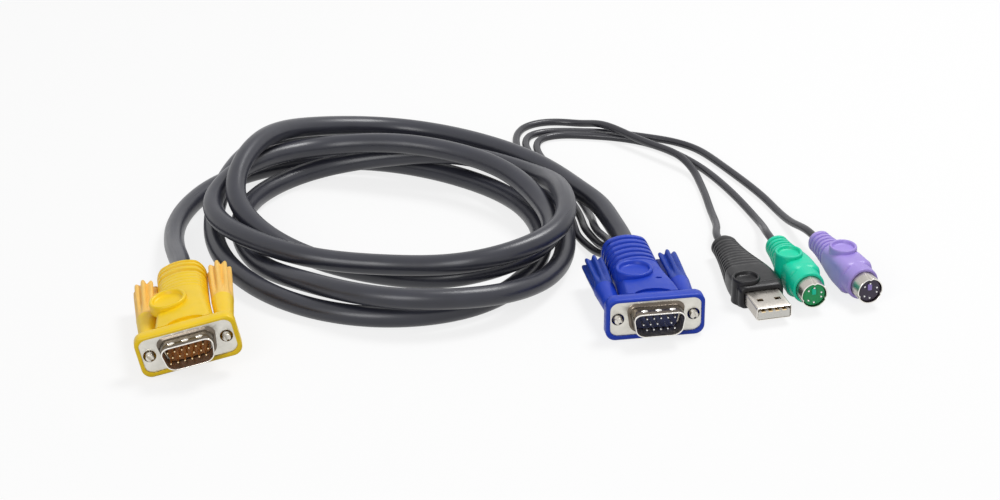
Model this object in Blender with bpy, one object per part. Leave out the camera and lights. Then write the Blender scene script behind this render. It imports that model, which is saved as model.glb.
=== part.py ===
"""A KVM cable: one thick cable with a video plug at each end, and three thin cords that leave the blue
plug for a USB plug, a green and a purple mini-DIN plug.

Everything lies on a table at z = 0. Each plug is modelled in its own frame, which its empty then puts
on the table: +X is the plug's right as its mouth is seen, +Z its top, and the mouth looks along -Y.
The shoulder of the moulding, from which the metal sticks out, is at y = 0.
"""
import math

import bmesh
import bpy
import numpy as np
from mathutils import Matrix, Vector

MM = 0.001

# Clearance between two pieces that touch, and between a turning piece and what it turns in.
GAP = 0.3 * MM
RUN = 0.4 * MM

# The cords, how deep they sit in the mouldings, and how loosely.
CABLE_D = 7.0 * MM
CORD_D = 2.7 * MM
GRIP = 4.7 * MM
CABLE_PITCH = 20.0 * MM
CORD_PITCH = 7.5 * MM

# Video plug: the plated front, set out from its two screws.
SCREW_SPACING = 25.0 * MM
PLATE_END = 2.8 * MM
PLATE_W = SCREW_SPACING + 2 * PLATE_END
PLATE_H = 12.3 * MM
PLATE_T = 0.8 * MM
PLATE_R = 1.9 * MM
COLLAR_W = 16.9 * MM
COLLAR_H = 8.4 * MM
COLLAR_L = 5.9 * MM
COLLAR_WALL = 0.5 * MM
COLLAR_R = 2.4 * MM
COLLAR_SLOPE = math.radians(10)
INSULATOR_FRONT = 0.6 * MM
PIN_D = 0.76 * MM
PIN_TIP = 5.0 * MM
PIN_PITCH = 2.29 * MM
ROW_PITCH = 1.98 * MM

# Video plug: the two thumbscrews.
SCREW_D = 2.8 * MM
SCREW_TIP = 1.2 * MM
SCREW_SLOT_W = 0.55 * MM
SCREW_SLOT_T = 0.8 * MM
KNOB_NECK_D = 5.0 * MM
KNOB_D = 8.0 * MM
YELLOW_KNOB_L = 40.7 * MM
BLUE_KNOB_L = 34.2 * MM
KNOB_SOCKET = 4.0 * MM
KNOB_RIM = 0.7 * MM
KNOB_FLUTES = 6
FLUTE_T = 0.75 * MM
KNOB_ROOM = 0.55 * MM

# Video plug: the moulded hood, with its flange round the plate and its body between the knobs.
FLANGE_RIM_X = 1.95 * MM
FLANGE_RIM_Z = 1.75 * MM
FLANGE_W = PLATE_W + 2 * FLANGE_RIM_X
FLANGE_H = PLATE_H + 2 * FLANGE_RIM_Z
FLANGE_T = 5.5 * MM
FLANGE_R = 3.5 * MM
HOOD_EDGE = 0.7 * MM
HOOD_L = 49.0 * MM
NECK_W = SCREW_SPACING - KNOB_NECK_D - 2 * KNOB_ROOM
NECK_H = 13.6 * MM
BOOT_START = 30.0 * MM
BOOT_W = SCREW_SPACING - KNOB_D - 2 * KNOB_ROOM
BOOT_H = 13.0 * MM
BOOT_TAPER = 0.9 * MM
TAIL_W = BOOT_W - BOOT_TAPER
TAIL_H = 12.6 * MM
TAIL_EDGE = 0.4 * MM
BODY_R = 4.2 * MM
GROOVE_W = 1.1 * MM
GROOVE_PITCH = 3.1 * MM
GROOVE_T = 0.85 * MM

# Where the cords leave the blue hood: the thin ones one above the other, then a web, then the cable.
EXIT_WALL = 0.75 * MM
EXIT_WEB = 0.7 * MM
CORD_EXIT_PITCH = CORD_D + GAP
CORD_EXIT_X = -(TAIL_W / 2 - EXIT_WALL - GAP - CORD_D / 2)
CABLE_EXIT_X = CORD_EXIT_X + CORD_D / 2 + GAP + EXIT_WEB + GAP + CABLE_D / 2

# Thumb rests, pressed into the top of every moulding.
REST_RIM = 0.9 * MM
REST_RISE = 0.7 * MM
REST_T = 1.2 * MM
REST_SUNK = 0.2 * MM
VIDEO_REST_W = 12.4 * MM
VIDEO_REST_L = 11.8 * MM
VIDEO_REST_Y = 20.8 * MM
YELLOW_REST_X = -3.2 * MM
BLUE_REST_X = -2.2 * MM
USB_REST_W = 8.6 * MM
USB_REST_L = 8.0 * MM
USB_REST_X = -2.6 * MM
USB_REST_Y = 6.6 * MM
DIN_REST_W = 9.6 * MM
DIN_REST_L = 9.6 * MM
GREEN_REST_X = -1.4 * MM
GREEN_REST_Y = 11.5 * MM
PURPLE_REST_X = 0.0 * MM
PURPLE_REST_Y = 13.0 * MM

# USB plug: metal shell and tongue, and the moulding that stands out round them.
USB_SHELL_W = 12.0 * MM
USB_SHELL_H = 4.5 * MM
USB_SHELL_L = 12.0 * MM
USB_WALL = 0.35 * MM
USB_TONGUE_H = 1.85 * MM
USB_TONGUE_SETBACK = 0.6 * MM
USB_CONTACT_W = 1.0 * MM
USB_CONTACT_L = 7.0 * MM
USB_CONTACT_RISE = 0.25 * MM
USB_CONTACT_SETBACK = 1.0 * MM
USB_CONTACT_PITCH = 2.2 * MM
USB_LATCH = 2.4 * MM
USB_SHOULDER_X = 2.0 * MM
USB_SHOULDER_Z = 2.25 * MM
USB_W = USB_SHELL_W + 2 * USB_SHOULDER_X
USB_H = USB_SHELL_H + 2 * USB_SHOULDER_Z
USB_R = 2.2 * MM
USB_NOSE = 1.1 * MM
USB_L = 42.7 * MM
USB_TAIL_W = 10.0 * MM
USB_TAIL_H = 7.4 * MM
USB_GROOVE_T = 0.55 * MM

# Mini-DIN plugs: metal shell and contacts, and the moulding that stands out round them.
DIN_SHELL_D = 9.0 * MM
DIN_SHELL_L = 9.0 * MM
DIN_WALL = 0.4 * MM
DIN_FACE = 2.4 * MM
DIN_PIN_D = 0.8 * MM
DIN_PIN_SETBACK = 0.9 * MM
DIN_PIN_CIRCLE = 5.2 * MM
DIN_KEY_W = 1.5 * MM
DIN_KEY_H = 1.0 * MM
DIN_SHOULDER = 2.0 * MM
DIN_COLLAR_D = DIN_SHELL_D + 2 * DIN_SHOULDER
DIN_COLLAR_L = 4.5 * MM
DIN_W = 12.6 * MM
DIN_H = 12.0 * MM
DIN_R = 3.6 * MM
DIN_L = 35.0 * MM
DIN_TAIL_W = 8.2 * MM
DIN_TAIL_H = 8.0 * MM
DIN_GROOVE_T = 0.6 * MM

# How deep the metal of the small plugs sits in their mouldings.
SOCKET = 1.8 * MM

# Points that shape a quarter of an outline, and all round a knob.
CORNER = 4
KNOB_POINTS = 24

# The point of the table that the origin stands on, midway between the plugs.
ORIGIN = Vector((3.095, -48.935, 0.0)) * MM

# Where the plugs lie: the shoulder's middle on the table, then yaw and roll in degrees.
YELLOW_ROLL = 13.0
YELLOW_AT = (-98.2, -90.0, 7.6)
BLUE_AT = (50.4, -64.3, 10.0)
USB_AT = (86.4, -43.4, 15.0)
GREEN_AT = (101.1, -38.0, 14.3)
PURPLE_AT = (119.0, -35.1, 19.9)


def material(name, colour, roughness, metallic=0.0):
    mat = bpy.data.materials.new(name)
    mat.use_nodes = True
    shader = mat.node_tree.nodes["Principled BSDF"]
    shader.inputs["Base Color"].default_value = (*colour, 1.0)
    shader.inputs["Roughness"].default_value = roughness
    shader.inputs["Metallic"].default_value = metallic
    mat.diffuse_color = (*colour, 1.0)
    return mat


# Outlines lie in X and Z and all have the same number of points, so that any two can be joined.

def corner_radius(radius, sweep):
    """A radius that makes the flats between the corner points touch the true arc."""
    return radius / math.cos(sweep / (2 * CORNER))


def rounded(width, height, radius, x=0.0, z=0.0):
    radius = min(radius, width / 2, height / 2)
    reach = corner_radius(radius, math.pi / 2)
    points = []
    for quarter, (sx, sz) in enumerate(((1, 1), (-1, 1), (-1, -1), (1, -1))):
        for i in range(CORNER):
            a = math.pi / 2 * (quarter + (i + 0.5) / CORNER)
            cx = x + sx * (width / 2 - radius)
            cz = z + sz * (height / 2 - radius)
            points.append((cx + reach * math.cos(a), cz + reach * math.sin(a)))
    return points


def circle(diameter, x=0.0, z=0.0):
    return rounded(diameter, diameter, diameter / 2, x, z)


def dee(width, height, radius):
    """The video plug's D: full width at the top, sides that lean in towards the bottom."""
    lean = math.tan(COLLAR_SLOPE)
    points = []
    arcs = ((1, 1, -COLLAR_SLOPE, math.pi / 2), (-1, 1, math.pi / 2, math.pi + COLLAR_SLOPE),
            (-1, -1, math.pi + COLLAR_SLOPE, 1.5 * math.pi),
            (1, -1, 1.5 * math.pi, 2 * math.pi - COLLAR_SLOPE))
    for sx, sz, start, end in arcs:
        drop = radius if sz > 0 else height - radius
        cx = sx * (width / 2 - drop * lean - radius / math.cos(COLLAR_SLOPE))
        cz = sz * (height / 2 - radius)
        reach = corner_radius(radius, end - start)
        for i in range(CORNER):
            a = start + (end - start) * (i + 0.5) / CORNER
            points.append((cx + reach * math.cos(a), cz + reach * math.sin(a)))
    return points


def smooth(start, end, t):
    t = min(max(t, 0.0), 1.0)
    return start + (end - start) * t * t * (3 - 2 * t)


# Bodies.

def finish(bm, name, mat, parent, sharp=35):
    bmesh.ops.recalc_face_normals(bm, faces=bm.faces)
    mesh = bpy.data.meshes.new(name)
    bm.to_mesh(mesh)
    bm.free()
    mesh.materials.append(mat)
    mesh.shade_smooth()
    mesh.set_sharp_from_angle(angle=math.radians(sharp))
    return place(mesh, name, parent)


def place(mesh, name, parent, location=(0.0, 0.0, 0.0)):
    obj = bpy.data.objects.new(name, mesh)
    bpy.context.collection.objects.link(obj)
    obj.parent = parent
    obj.location = location
    return obj


def loft(name, rows, mat, parent, ring=False, sharp=35):
    """One closed body through rows of (y, outline); a ring joins its last row to its first."""
    bm = bmesh.new()
    loops = []
    for y, outline in rows:
        ys = y if isinstance(y, list) else [y] * len(outline)
        loops.append([bm.verts.new((p[0], v, p[1])) for p, v in zip(outline, ys)])
    pairs = list(zip(loops, loops[1:]))
    if ring:
        pairs.append((loops[-1], loops[0]))
    for a, b in pairs:
        for i in range(len(a)):
            j = (i + 1) % len(a)
            bm.faces.new((a[i], a[j], b[j], b[i]))
    if not ring:
        bm.faces.new(loops[0])
        bm.faces.new(loops[-1])
    return finish(bm, name, mat, parent, sharp)


def box(name, size, centre, mat, parent):
    bm = bmesh.new()
    bmesh.ops.create_cube(bm, size=1.0, matrix=Matrix.LocRotScale(Vector(centre), None, Vector(size)))
    return finish(bm, name, mat, parent)


def boolean(target, tool, operation):
    tool.hide_render = True
    tool.display_type = "WIRE"
    mod = target.modifiers.new(tool.name, "BOOLEAN")
    mod.operation = operation
    mod.solver = "EXACT"
    mod.object = tool


def cut(target, tool):
    boolean(target, tool, "DIFFERENCE")


def weld(target, tool):
    boolean(target, tool, "UNION")


def thumb_rest(target, centre, width, length, mat, parent):
    """An oval rim on top of a moulding, with a shallow hollow for the thumb inside it."""
    pad = bmesh.new()
    x, y, z = centre
    top = z - REST_SUNK + REST_RISE
    bmesh.ops.create_cone(pad, cap_ends=True, segments=4 * CORNER, radius1=0.56, radius2=0.5, depth=1.0)
    depth = REST_RISE + REST_T
    shape = Matrix.LocRotScale(Vector((x, y, top - depth / 2)), None, Vector((width, length, depth)))
    bmesh.ops.transform(pad, matrix=shape, verts=pad.verts)
    weld(target, finish(pad, target.name + "_rest_rim", mat, parent))
    hollow = bmesh.new()
    bmesh.ops.create_uvsphere(hollow, u_segments=4 * CORNER, v_segments=8, radius=0.5)
    size = Vector((width - 2 * REST_RIM, length - 2 * REST_RIM, 2 * REST_T))
    bmesh.ops.transform(hollow, matrix=Matrix.LocRotScale(Vector((x, y, top)), None, size),
                        verts=hollow.verts)
    cut(target, finish(hollow, target.name + "_rest_hollow", mat, parent))


def grooved(start, count, depth, size):
    """Rows for rings cut into a strain relief; size(y, depth) gives the outline at y."""
    rows = []
    for i in range(count):
        y = start + i * GROOVE_PITCH
        end = y + GROOVE_W
        rows += [(y, size(y, 0.0)), (y, size(y, depth)), (end, size(end, depth)), (end, size(end, 0.0))]
    return rows


# The video plug.

def hood_outline(y, depth=0.0):
    """The moulding behind the flange: it narrows to the strain relief, which tapers on."""
    if y < BOOT_START:
        t = (y - FLANGE_T) / (BOOT_START - FLANGE_T)
        width = smooth(NECK_W, BOOT_W, t)
        height = smooth(NECK_H, BOOT_H, t)
    else:
        t = (y - BOOT_START) / (HOOD_L - BOOT_START)
        width = BOOT_W + (TAIL_W - BOOT_W) * t
        height = BOOT_H + (TAIL_H - BOOT_H) * t
    return rounded(width - 2 * depth, height - 2 * depth, BODY_R - depth)


def hood(plug, mat, grooves, exit_x, rest_x):
    """Flange, body and strain relief in one moulding, hollow in front for the plate."""
    pocket = GAP + PLATE_T + GAP
    mouth = rounded(PLATE_W + 2 * GAP, PLATE_H + 2 * GAP, PLATE_R + GAP)
    flange = rounded(FLANGE_W, FLANGE_H, FLANGE_R)
    eased = rounded(FLANGE_W - 2 * HOOD_EDGE, FLANGE_H - 2 * HOOD_EDGE, FLANGE_R - HOOD_EDGE)
    rows = [(pocket, mouth), (0.0, mouth), (0.0, eased), (HOOD_EDGE, flange),
            (FLANGE_T - HOOD_EDGE, flange), (FLANGE_T, eased)]
    steps = 7
    first = HOOD_L - TAIL_EDGE - GROOVE_PITCH * grooves
    for i in range(steps):
        y = FLANGE_T + (first - GROOVE_W - FLANGE_T) * i / (steps - 1)
        rows.append((y, hood_outline(y)))
    rows += grooved(first, grooves, GROOVE_T, hood_outline)
    rows.append((HOOD_L - TAIL_EDGE, hood_outline(HOOD_L - TAIL_EDGE)))
    rows.append((HOOD_L, hood_outline(HOOD_L, TAIL_EDGE)))
    bore = circle(CABLE_D + 2 * GAP, exit_x)
    rows += [(HOOD_L, bore), (HOOD_L - GRIP - GAP, bore)]
    body = loft(plug.name + "_hood", rows, mat, plug)
    thumb_rest(body, (rest_x, VIDEO_REST_Y, NECK_H / 2), VIDEO_REST_W, VIDEO_REST_L, mat, plug)
    for side in (-1, 1):
        hole = circle(SCREW_D + 2 * RUN, side * SCREW_SPACING / 2)
        through = [(-GAP, hole), (FLANGE_T + GAP, hole)]
        cut(body, loft(f"{plug.name}_flange_hole_{side}", through, mat, plug))
    return body


def plate(plug, mat):
    """The plate and the D collar that is drawn out of it, in one sheet."""
    back = GAP + PLATE_T
    sheet = rounded(PLATE_W, PLATE_H, PLATE_R)
    outer = dee(COLLAR_W, COLLAR_H, COLLAR_R)
    inner = dee(COLLAR_W - 2 * COLLAR_WALL, COLLAR_H - 2 * COLLAR_WALL, COLLAR_R - COLLAR_WALL)
    body = loft(plug.name + "_shell",
                [(back, sheet), (GAP, sheet), (GAP, outer), (-COLLAR_L, outer), (-COLLAR_L, inner), (back, inner)],
                mat, plug, ring=True)
    for side in (-1, 1):
        hole = circle(SCREW_D + 2 * RUN, side * SCREW_SPACING / 2)
        through = [(0.0, hole), (back + GAP, hole)]
        cut(body, loft(f"{plug.name}_plate_hole_{side}", through, mat, plug))
    return body


def insulator(plug, mat):
    width = COLLAR_W - 2 * COLLAR_WALL - 2 * GAP
    height = COLLAR_H - 2 * COLLAR_WALL - 2 * GAP
    block = dee(width, height, COLLAR_R - COLLAR_WALL - GAP)
    return loft(plug.name + "_insulator", [(-INSULATOR_FRONT, block), (GAP + PLATE_T, block)], mat, plug)


def pins(plug, mat, rows):
    """One pin for each place in the rows, which run from the top down: (places, shift, empty place)."""
    shaft = []
    for y, diameter in ((-INSULATOR_FRONT - GAP, PIN_D), (-PIN_TIP + PIN_D, PIN_D), (-PIN_TIP, PIN_D / 3)):
        hexagon = [(diameter / 2 * math.cos(math.pi / 3 * i), diameter / 2 * math.sin(math.pi / 3 * i))
                   for i in range(6)]
        shaft.append((y, hexagon))
    first = None
    number = 0
    for row, (places, shift, empty) in enumerate(rows):
        for i in range(places):
            if i == empty:
                continue
            number += 1
            name = f"{plug.name}_pin_{number:02d}"
            if first is None:
                first = loft(name, shaft, mat, plug)
                pin = first
            else:
                pin = place(first.data, name, plug)
            x = (i - (places - 1) / 2 + shift) * PIN_PITCH
            pin.location = (x, 0.0, (1 - row) * ROW_PITCH)


def thumbscrew(plug, side, length, steel, mat):
    """A steel screw and the moulded knob on its end. Both turn about the screw's axis."""
    word = "left" if side < 0 else "right"
    axis = Vector((side * SCREW_SPACING / 2, 0.0, 0.0))
    start = FLANGE_T + GAP
    end = start + KNOB_SOCKET - GAP
    tip = SCREW_D - 2 * SCREW_SLOT_T / 3
    rows = [(-SCREW_TIP, circle(tip)), (-SCREW_TIP + SCREW_SLOT_T / 3, circle(SCREW_D)), (end, circle(SCREW_D))]
    screw = loft(f"{plug.name}_screw_{word}", rows, steel, plug)
    screw.location = axis
    slot = box(f"{plug.name}_slot_{word}", (2 * SCREW_D, 2 * SCREW_SLOT_T, SCREW_SLOT_W),
               (0, -SCREW_TIP, 0), steel, screw)
    slot.rotation_euler = (0.0, math.radians(60 if side < 0 else 75), 0.0)
    cut(screw, slot)

    bore = flutes(SCREW_D + GAP, 0.0)
    rows = [(start + KNOB_SOCKET, bore), (start, bore)]
    for t in (0.0, 0.2, 0.35, 0.5, 0.65, 0.97):
        swell = (t - 0.1) / 0.5
        depth = smooth(0.0, FLUTE_T, (t - 0.35) / 0.3)
        rows.append((start + t * length, flutes(smooth(KNOB_NECK_D, KNOB_D, swell), depth)))
    # The rear rim rises and falls with the flutes, and its middle is sunk.
    end = start + length
    rim = [end - FLUTE_T * (1 - math.cos(KNOB_FLUTES * a)) for a in angles()]
    rows.append((rim, flutes(KNOB_D - 2 * KNOB_RIM, FLUTE_T)))
    rows.append((end - 2 * FLUTE_T - KNOB_RIM, flutes(KNOB_D / 2, 0.0)))
    knob = loft(f"{plug.name}_knob_{word}", rows, mat, plug)
    knob.location = axis


def angles():
    return [2 * math.pi * (i + 0.5) / KNOB_POINTS for i in range(KNOB_POINTS)]


def flutes(diameter, depth):
    points = []
    for a in angles():
        r = diameter / 2 - depth * (1 - math.cos(KNOB_FLUTES * a)) / 2
        points.append((r * math.cos(a), r * math.sin(a)))
    return points


# The small plugs.

def usb_outline(y, depth=0.0):
    t = (y - 0.3 * USB_L) / (0.65 * USB_L)
    width = smooth(USB_W, USB_TAIL_W, t)
    height = smooth(USB_H, USB_TAIL_H, t)
    return rounded(width - 2 * depth, height - depth, USB_R)


def usb_plug(plug, black, metal, cream):
    mouth = rounded(USB_SHELL_W + 2 * GAP, USB_SHELL_H + 2 * GAP, USB_WALL + GAP)
    nose = rounded(USB_W - 2 * USB_NOSE, USB_H - 2 * USB_NOSE, USB_R - USB_NOSE / 2)
    bore = circle(CORD_D + 2 * GAP)
    count = 6
    first = USB_L - TAIL_EDGE - count * GROOVE_PITCH
    rows = [(SOCKET + GAP, mouth), (0.0, mouth), (0.0, nose), (USB_NOSE / 2, usb_outline(0.0, USB_NOSE / 3)),
            (1.5 * USB_NOSE, usb_outline(0.0))]
    for t in (0.6, 0.85):
        rows.append((t * first, usb_outline(t * first)))
    rows += grooved(first, count, USB_GROOVE_T, usb_outline)
    rows += [(USB_L - TAIL_EDGE, usb_outline(USB_L - TAIL_EDGE)), (USB_L, usb_outline(USB_L, TAIL_EDGE)),
             (USB_L, bore), (USB_L - GRIP - GAP, bore)]
    body = loft("usb_overmould", rows, black, plug)
    thumb_rest(body, (USB_REST_X, USB_REST_Y, USB_H / 2), USB_REST_W, USB_REST_L, black, plug)

    outer = rounded(USB_SHELL_W, USB_SHELL_H, 2 * USB_WALL)
    inner = rounded(USB_SHELL_W - 2 * USB_WALL, USB_SHELL_H - 2 * USB_WALL, USB_WALL)
    shell = loft("usb_shell", [(SOCKET, outer), (-USB_SHELL_L, outer), (-USB_SHELL_L, inner),
                               (SOCKET - USB_WALL, inner)], metal, plug)
    for side in (-1, 1):
        window = box(f"usb_latch_{side}", (USB_LATCH, USB_LATCH, 2 * USB_SHELL_H),
                     (side * USB_SHELL_W / 4, -USB_SHELL_L / 2, 0), metal, plug)
        cut(shell, window)

    floor = -USB_SHELL_H / 2 + USB_WALL + GAP
    back = SOCKET - USB_WALL - GAP
    front = -USB_SHELL_L + USB_TONGUE_SETBACK
    width = USB_SHELL_W - 2 * USB_WALL - 2 * GAP
    tongue = box("usb_tongue", (width, back - front, USB_TONGUE_H),
                 (0, (back + front) / 2, floor + USB_TONGUE_H / 2), cream, plug)
    middle = front + USB_CONTACT_SETBACK + USB_CONTACT_L / 2
    for i in range(4):
        place_at = ((i - 1.5) * USB_CONTACT_PITCH, middle, floor + USB_TONGUE_H)
        weld(tongue, box(f"usb_contact_{i}", (USB_CONTACT_W, USB_CONTACT_L, 2 * USB_CONTACT_RISE), place_at,
                         cream, plug))


def din_outline(y, depth=0.0):
    t = (y - 0.45 * DIN_L) / (0.5 * DIN_L)
    width = smooth(DIN_W, DIN_TAIL_W, t)
    height = smooth(DIN_H, DIN_TAIL_H, t)
    return rounded(width - 2 * depth, height - 2 * depth, DIN_R - depth)


def din_plug(plug, mat, metal, core, rest_x, rest_y):
    mouth = circle(DIN_SHELL_D + 2 * GAP)
    collar = circle(DIN_COLLAR_D)
    eased = circle(DIN_COLLAR_D - 2 * HOOD_EDGE)
    bore = circle(CORD_D + 2 * GAP)
    count = 4
    first = DIN_L - TAIL_EDGE - count * GROOVE_PITCH
    rows = [(SOCKET + GAP, mouth), (0.0, mouth), (0.0, eased), (HOOD_EDGE, collar),
            (DIN_COLLAR_L - HOOD_EDGE, collar), (DIN_COLLAR_L, eased)]
    for i in range(6):
        y = DIN_COLLAR_L + HOOD_EDGE + (first - GROOVE_W - DIN_COLLAR_L - HOOD_EDGE) * i / 5
        rows.append((y, din_outline(y)))
    rows += grooved(first, count, DIN_GROOVE_T, din_outline)
    rows += [(DIN_L - TAIL_EDGE, din_outline(DIN_L - TAIL_EDGE)), (DIN_L, din_outline(DIN_L, TAIL_EDGE)),
             (DIN_L, bore), (DIN_L - GRIP - GAP, bore)]
    body = loft(plug.name + "_overmould", rows, mat, plug)
    thumb_rest(body, (rest_x, rest_y, DIN_H / 2), DIN_REST_W, DIN_REST_L, mat, plug)

    outer = circle(DIN_SHELL_D)
    inner = circle(DIN_SHELL_D - 2 * DIN_WALL)
    loft(plug.name + "_shell", [(SOCKET, outer), (-DIN_SHELL_L, outer), (-DIN_SHELL_L, inner),
                                (SOCKET - DIN_WALL, inner)], metal, plug)

    back = SOCKET - DIN_WALL - GAP
    face = -DIN_SHELL_L + DIN_FACE
    tip = -DIN_SHELL_L + DIN_PIN_SETBACK
    disc = circle(DIN_SHELL_D - 2 * DIN_WALL - 2 * GAP)
    block = loft(plug.name + "_contacts", [(back, disc), (face, disc)], core, plug)
    for i in range(6):
        a = math.radians(-60 + 60 * i + (12 if i < 3 else -12) * (i % 3 != 1))
        centre = (DIN_PIN_CIRCLE / 2 * math.sin(a), DIN_PIN_CIRCLE / 2 * math.cos(a))
        hexagon = [(centre[0] + DIN_PIN_D / 2 * math.cos(math.pi / 3 * k),
                    centre[1] + DIN_PIN_D / 2 * math.sin(math.pi / 3 * k)) for k in range(6)]
        root = face + DIN_PIN_D
        weld(block, loft(f"{plug.name}_contact_{i}", [(root, hexagon), (tip, hexagon)], core, plug))
    weld(block, box(plug.name + "_key", (DIN_KEY_W, root - tip, DIN_KEY_H), (0, (tip + root) / 2, 0), core, plug))


# The cords.

def spline(points, pitch):
    """A smooth curve through the points, read at an even pitch along its length."""
    p = np.array(points)
    h = np.linalg.norm(np.diff(p, axis=0), axis=1)
    s = np.concatenate([[0.0], np.cumsum(h)])
    n = len(p)
    a = np.eye(n)
    b = np.zeros_like(p)
    for i in range(1, n - 1):
        a[i, i - 1:i + 2] = h[i - 1], 2 * (h[i - 1] + h[i]), h[i]
        b[i] = 6 * ((p[i + 1] - p[i]) / h[i] - (p[i] - p[i - 1]) / h[i - 1])
    m = np.linalg.solve(a, b)
    fine = []
    for i in range(n - 1):
        for t in np.linspace(0.0, 1.0, 24, endpoint=False):
            u = 1 - t
            bend = (u ** 3 - u) * m[i] + (t ** 3 - t) * m[i + 1]
            fine.append(u * p[i] + t * p[i + 1] + bend * h[i] ** 2 / 6)
    fine = np.array(fine + [p[-1]])
    run = np.concatenate([[0.0], np.cumsum(np.linalg.norm(np.diff(fine, axis=0), axis=1))])
    # Both ends keep their own points, so that the cord runs straight out of each moulding.
    start, end = run[48], run[-49]
    count = round((end - start) / pitch)
    marks = np.concatenate([[0.0, run[24]], np.linspace(start, end, count + 1), [run[-25], run[-1]]])
    return np.stack([np.interp(marks, run, fine[:, k]) for k in range(3)], axis=1)


def cord(name, points, diameter, pitch, sides, mat):
    curve = bpy.data.curves.new(name, "CURVE")
    curve.dimensions = "3D"
    curve.twist_mode = "MINIMUM"
    curve.bevel_depth = diameter / 2
    curve.bevel_resolution = sides
    curve.use_fill_caps = True
    track = spline(points, pitch)
    line = curve.splines.new("POLY")
    line.points.add(len(track) - 1)
    for point, co in zip(line.points, track):
        point.co = (*co, 1.0)
    curve.materials.append(mat)
    obj = bpy.data.objects.new(name, curve)
    bpy.context.collection.objects.link(obj)
    return obj


def table(points):
    """Points on the table in millimetres, measured from the middle of the picture, from the origin."""
    return [Vector(p) * MM - ORIGIN for p in points]


def exit_line(plug, length, x, z, reach):
    """A cord's straight end: from inside the moulding to just behind it."""
    return [plug.matrix_world @ Vector((x, length + y, z)) for y in (-GRIP, 0.0, reach)]


# The coil, from the yellow plug's end of the cable to the blue plug's. It is laid clockwise round
# its middle, one station every 30 degrees from the left, each a radius and a height of the centre line.
COIL_MIDDLE = (-38.0, 8.0)
STATIONS = 12
COIL = [
    [(74, 4.3), (72, 3.9), (64.5, 3.8), (54.6, 3.75), (49, 3.75), (49.2, 3.75),
     (51.8, 3.75), (56.8, 3.75), (63.4, 3.75), (64.4, 3.75), (61.9, 3.75), (59.8, 3.9)],
    [(60.8, 4.5), (66, 10.4), (74, 11.4), (74, 5), (65.5, 3.9), (61, 3.9),
     (60.2, 3.9), (65.5, 5.2), (71.5, 10.5), (66, 11.9), (55.3, 8.8), (50.6, 4.2)],
    [(51.5, 3.9), (54.6, 3.8), (54.8, 4.8), (48.4, 9.5), (49.8, 12.1), (56.7, 12.1),
     (59.2, 18.6), (65, 19.6), (57, 16.4), (43, 12), (45.4, 12.5), (52.2, 13)],
    [(60.7, 13), (57.6, 15.4), (53.8, 14), (43.6, 16.8), (42.8, 16.4), (46.8, 14.9),
     (53.6, 11.8), (59.6, 12.3), (51, 8.6), (35.5, 4.3), (32.5, 4.1), (42, 9.2)],
    [(52.4, 16.8), (55.3, 23.2), (62.5, 18.4), (67, 12.4), (62.8, 11.9), (65, 11)],
]
YELLOW_LEAD = [(-106.2, -30.5, 9.8), (-108.6, -19.0, 7.8), (-110.9, -6.5, 5.6)]
BLUE_LEAD = [(41.3, -6.5, 8.2), (38.8, 2.5, 8.9), (34.4, 15.5, 9.8), (28.0, 26.5, 10.2)]

# The thin cords, from behind the blue plug to their own plugs.
USB_ROUTE = [
    (33.6, -8.5, 3.2), (30.0, 0, 1.8), (27.0, 8, 1.5), (25.6, 17, 1.5), (24.3, 25, 1.5), (22.2, 34, 1.5),
    (18.5, 44.5, 1.5), (13.5, 56, 1.5), (9.5, 67, 1.5), (7, 77, 1.5), (6, 86, 1.5), (6.5, 93, 1.5),
    (9.4, 99.5, 1.5), (15.3, 103.5, 1.5), (23, 104.2, 1.5), (30, 102, 2.0), (37, 96, 4.4), (48, 85, 4.7),
    (58, 75, 4.7), (65, 67.5, 4.5), (69.5, 60, 2.6), (71.5, 52, 1.5), (73, 40, 1.5), (74.3, 26, 1.5),
    (75, 12, 3)]
PURPLE_ROUTE = [
    (34.4, -9, 6.4), (31.9, 0, 4.6), (30, 8, 3.4), (28.9, 17, 1.7), (27.7, 25, 1.5), (25.5, 34, 1.5),
    (21.9, 45, 1.5), (17, 57, 1.5), (13, 68, 1.5), (10.4, 78, 1.5), (9.5, 86, 1.5), (11.3, 91.8, 1.5),
    (15.8, 94.9, 1.5), (22, 95.8, 1.5), (30, 95.6, 1.5), (41, 94.5, 1.5), (53, 91, 1.5), (64, 86.5, 1.5),
    (72, 80, 1.5), (77.5, 71.5, 1.5), (83, 61, 1.5), (89, 49, 1.5), (94, 37.5, 1.5), (98, 26, 1.7),
    (101.5, 14.5, 3.4)]
GREEN_ROUTE = [
    (35, -9, 9.8), (33.2, 0, 7.6), (32.3, 8, 5.9), (32.1, 17, 3.3), (31.3, 25, 1.5), (29, 34.5, 1.5),
    (25.3, 45.5, 1.5), (20.4, 58, 1.5), (16.3, 69, 1.5), (13.7, 79, 1.5), (13.7, 84.5, 1.5), (15.6, 89, 1.5),
    (20, 91.7, 1.5), (30, 92.2, 1.5), (41, 90.5, 1.5), (52, 86.5, 1.5), (61, 79.5, 1.5), (67, 72.5, 1.5),
    (73.5, 62.5, 1.5), (79.5, 50, 1.5), (84.7, 36.5, 1.5), (88.7, 24, 1.6), (91, 12, 3.2)]

def coil_points():
    points = []
    for turn in COIL:
        for i, (radius, height) in enumerate(turn):
            a = math.pi - 2 * math.pi * i / STATIONS
            points.append((COIL_MIDDLE[0] + radius * math.cos(a), COIL_MIDDLE[1] + radius * math.sin(a), height))
    return points


def plug_frame(name, at, height, roll=0.0):
    """The empty that carries a plug; height is its axis above the table."""
    x, y, yaw = at
    empty = bpy.data.objects.new(name, None)
    bpy.context.collection.objects.link(empty)
    empty.location = Vector((x * MM, y * MM, height)) - ORIGIN
    empty.rotation_euler = (0.0, -math.radians(roll), math.radians(yaw))
    return empty


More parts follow.
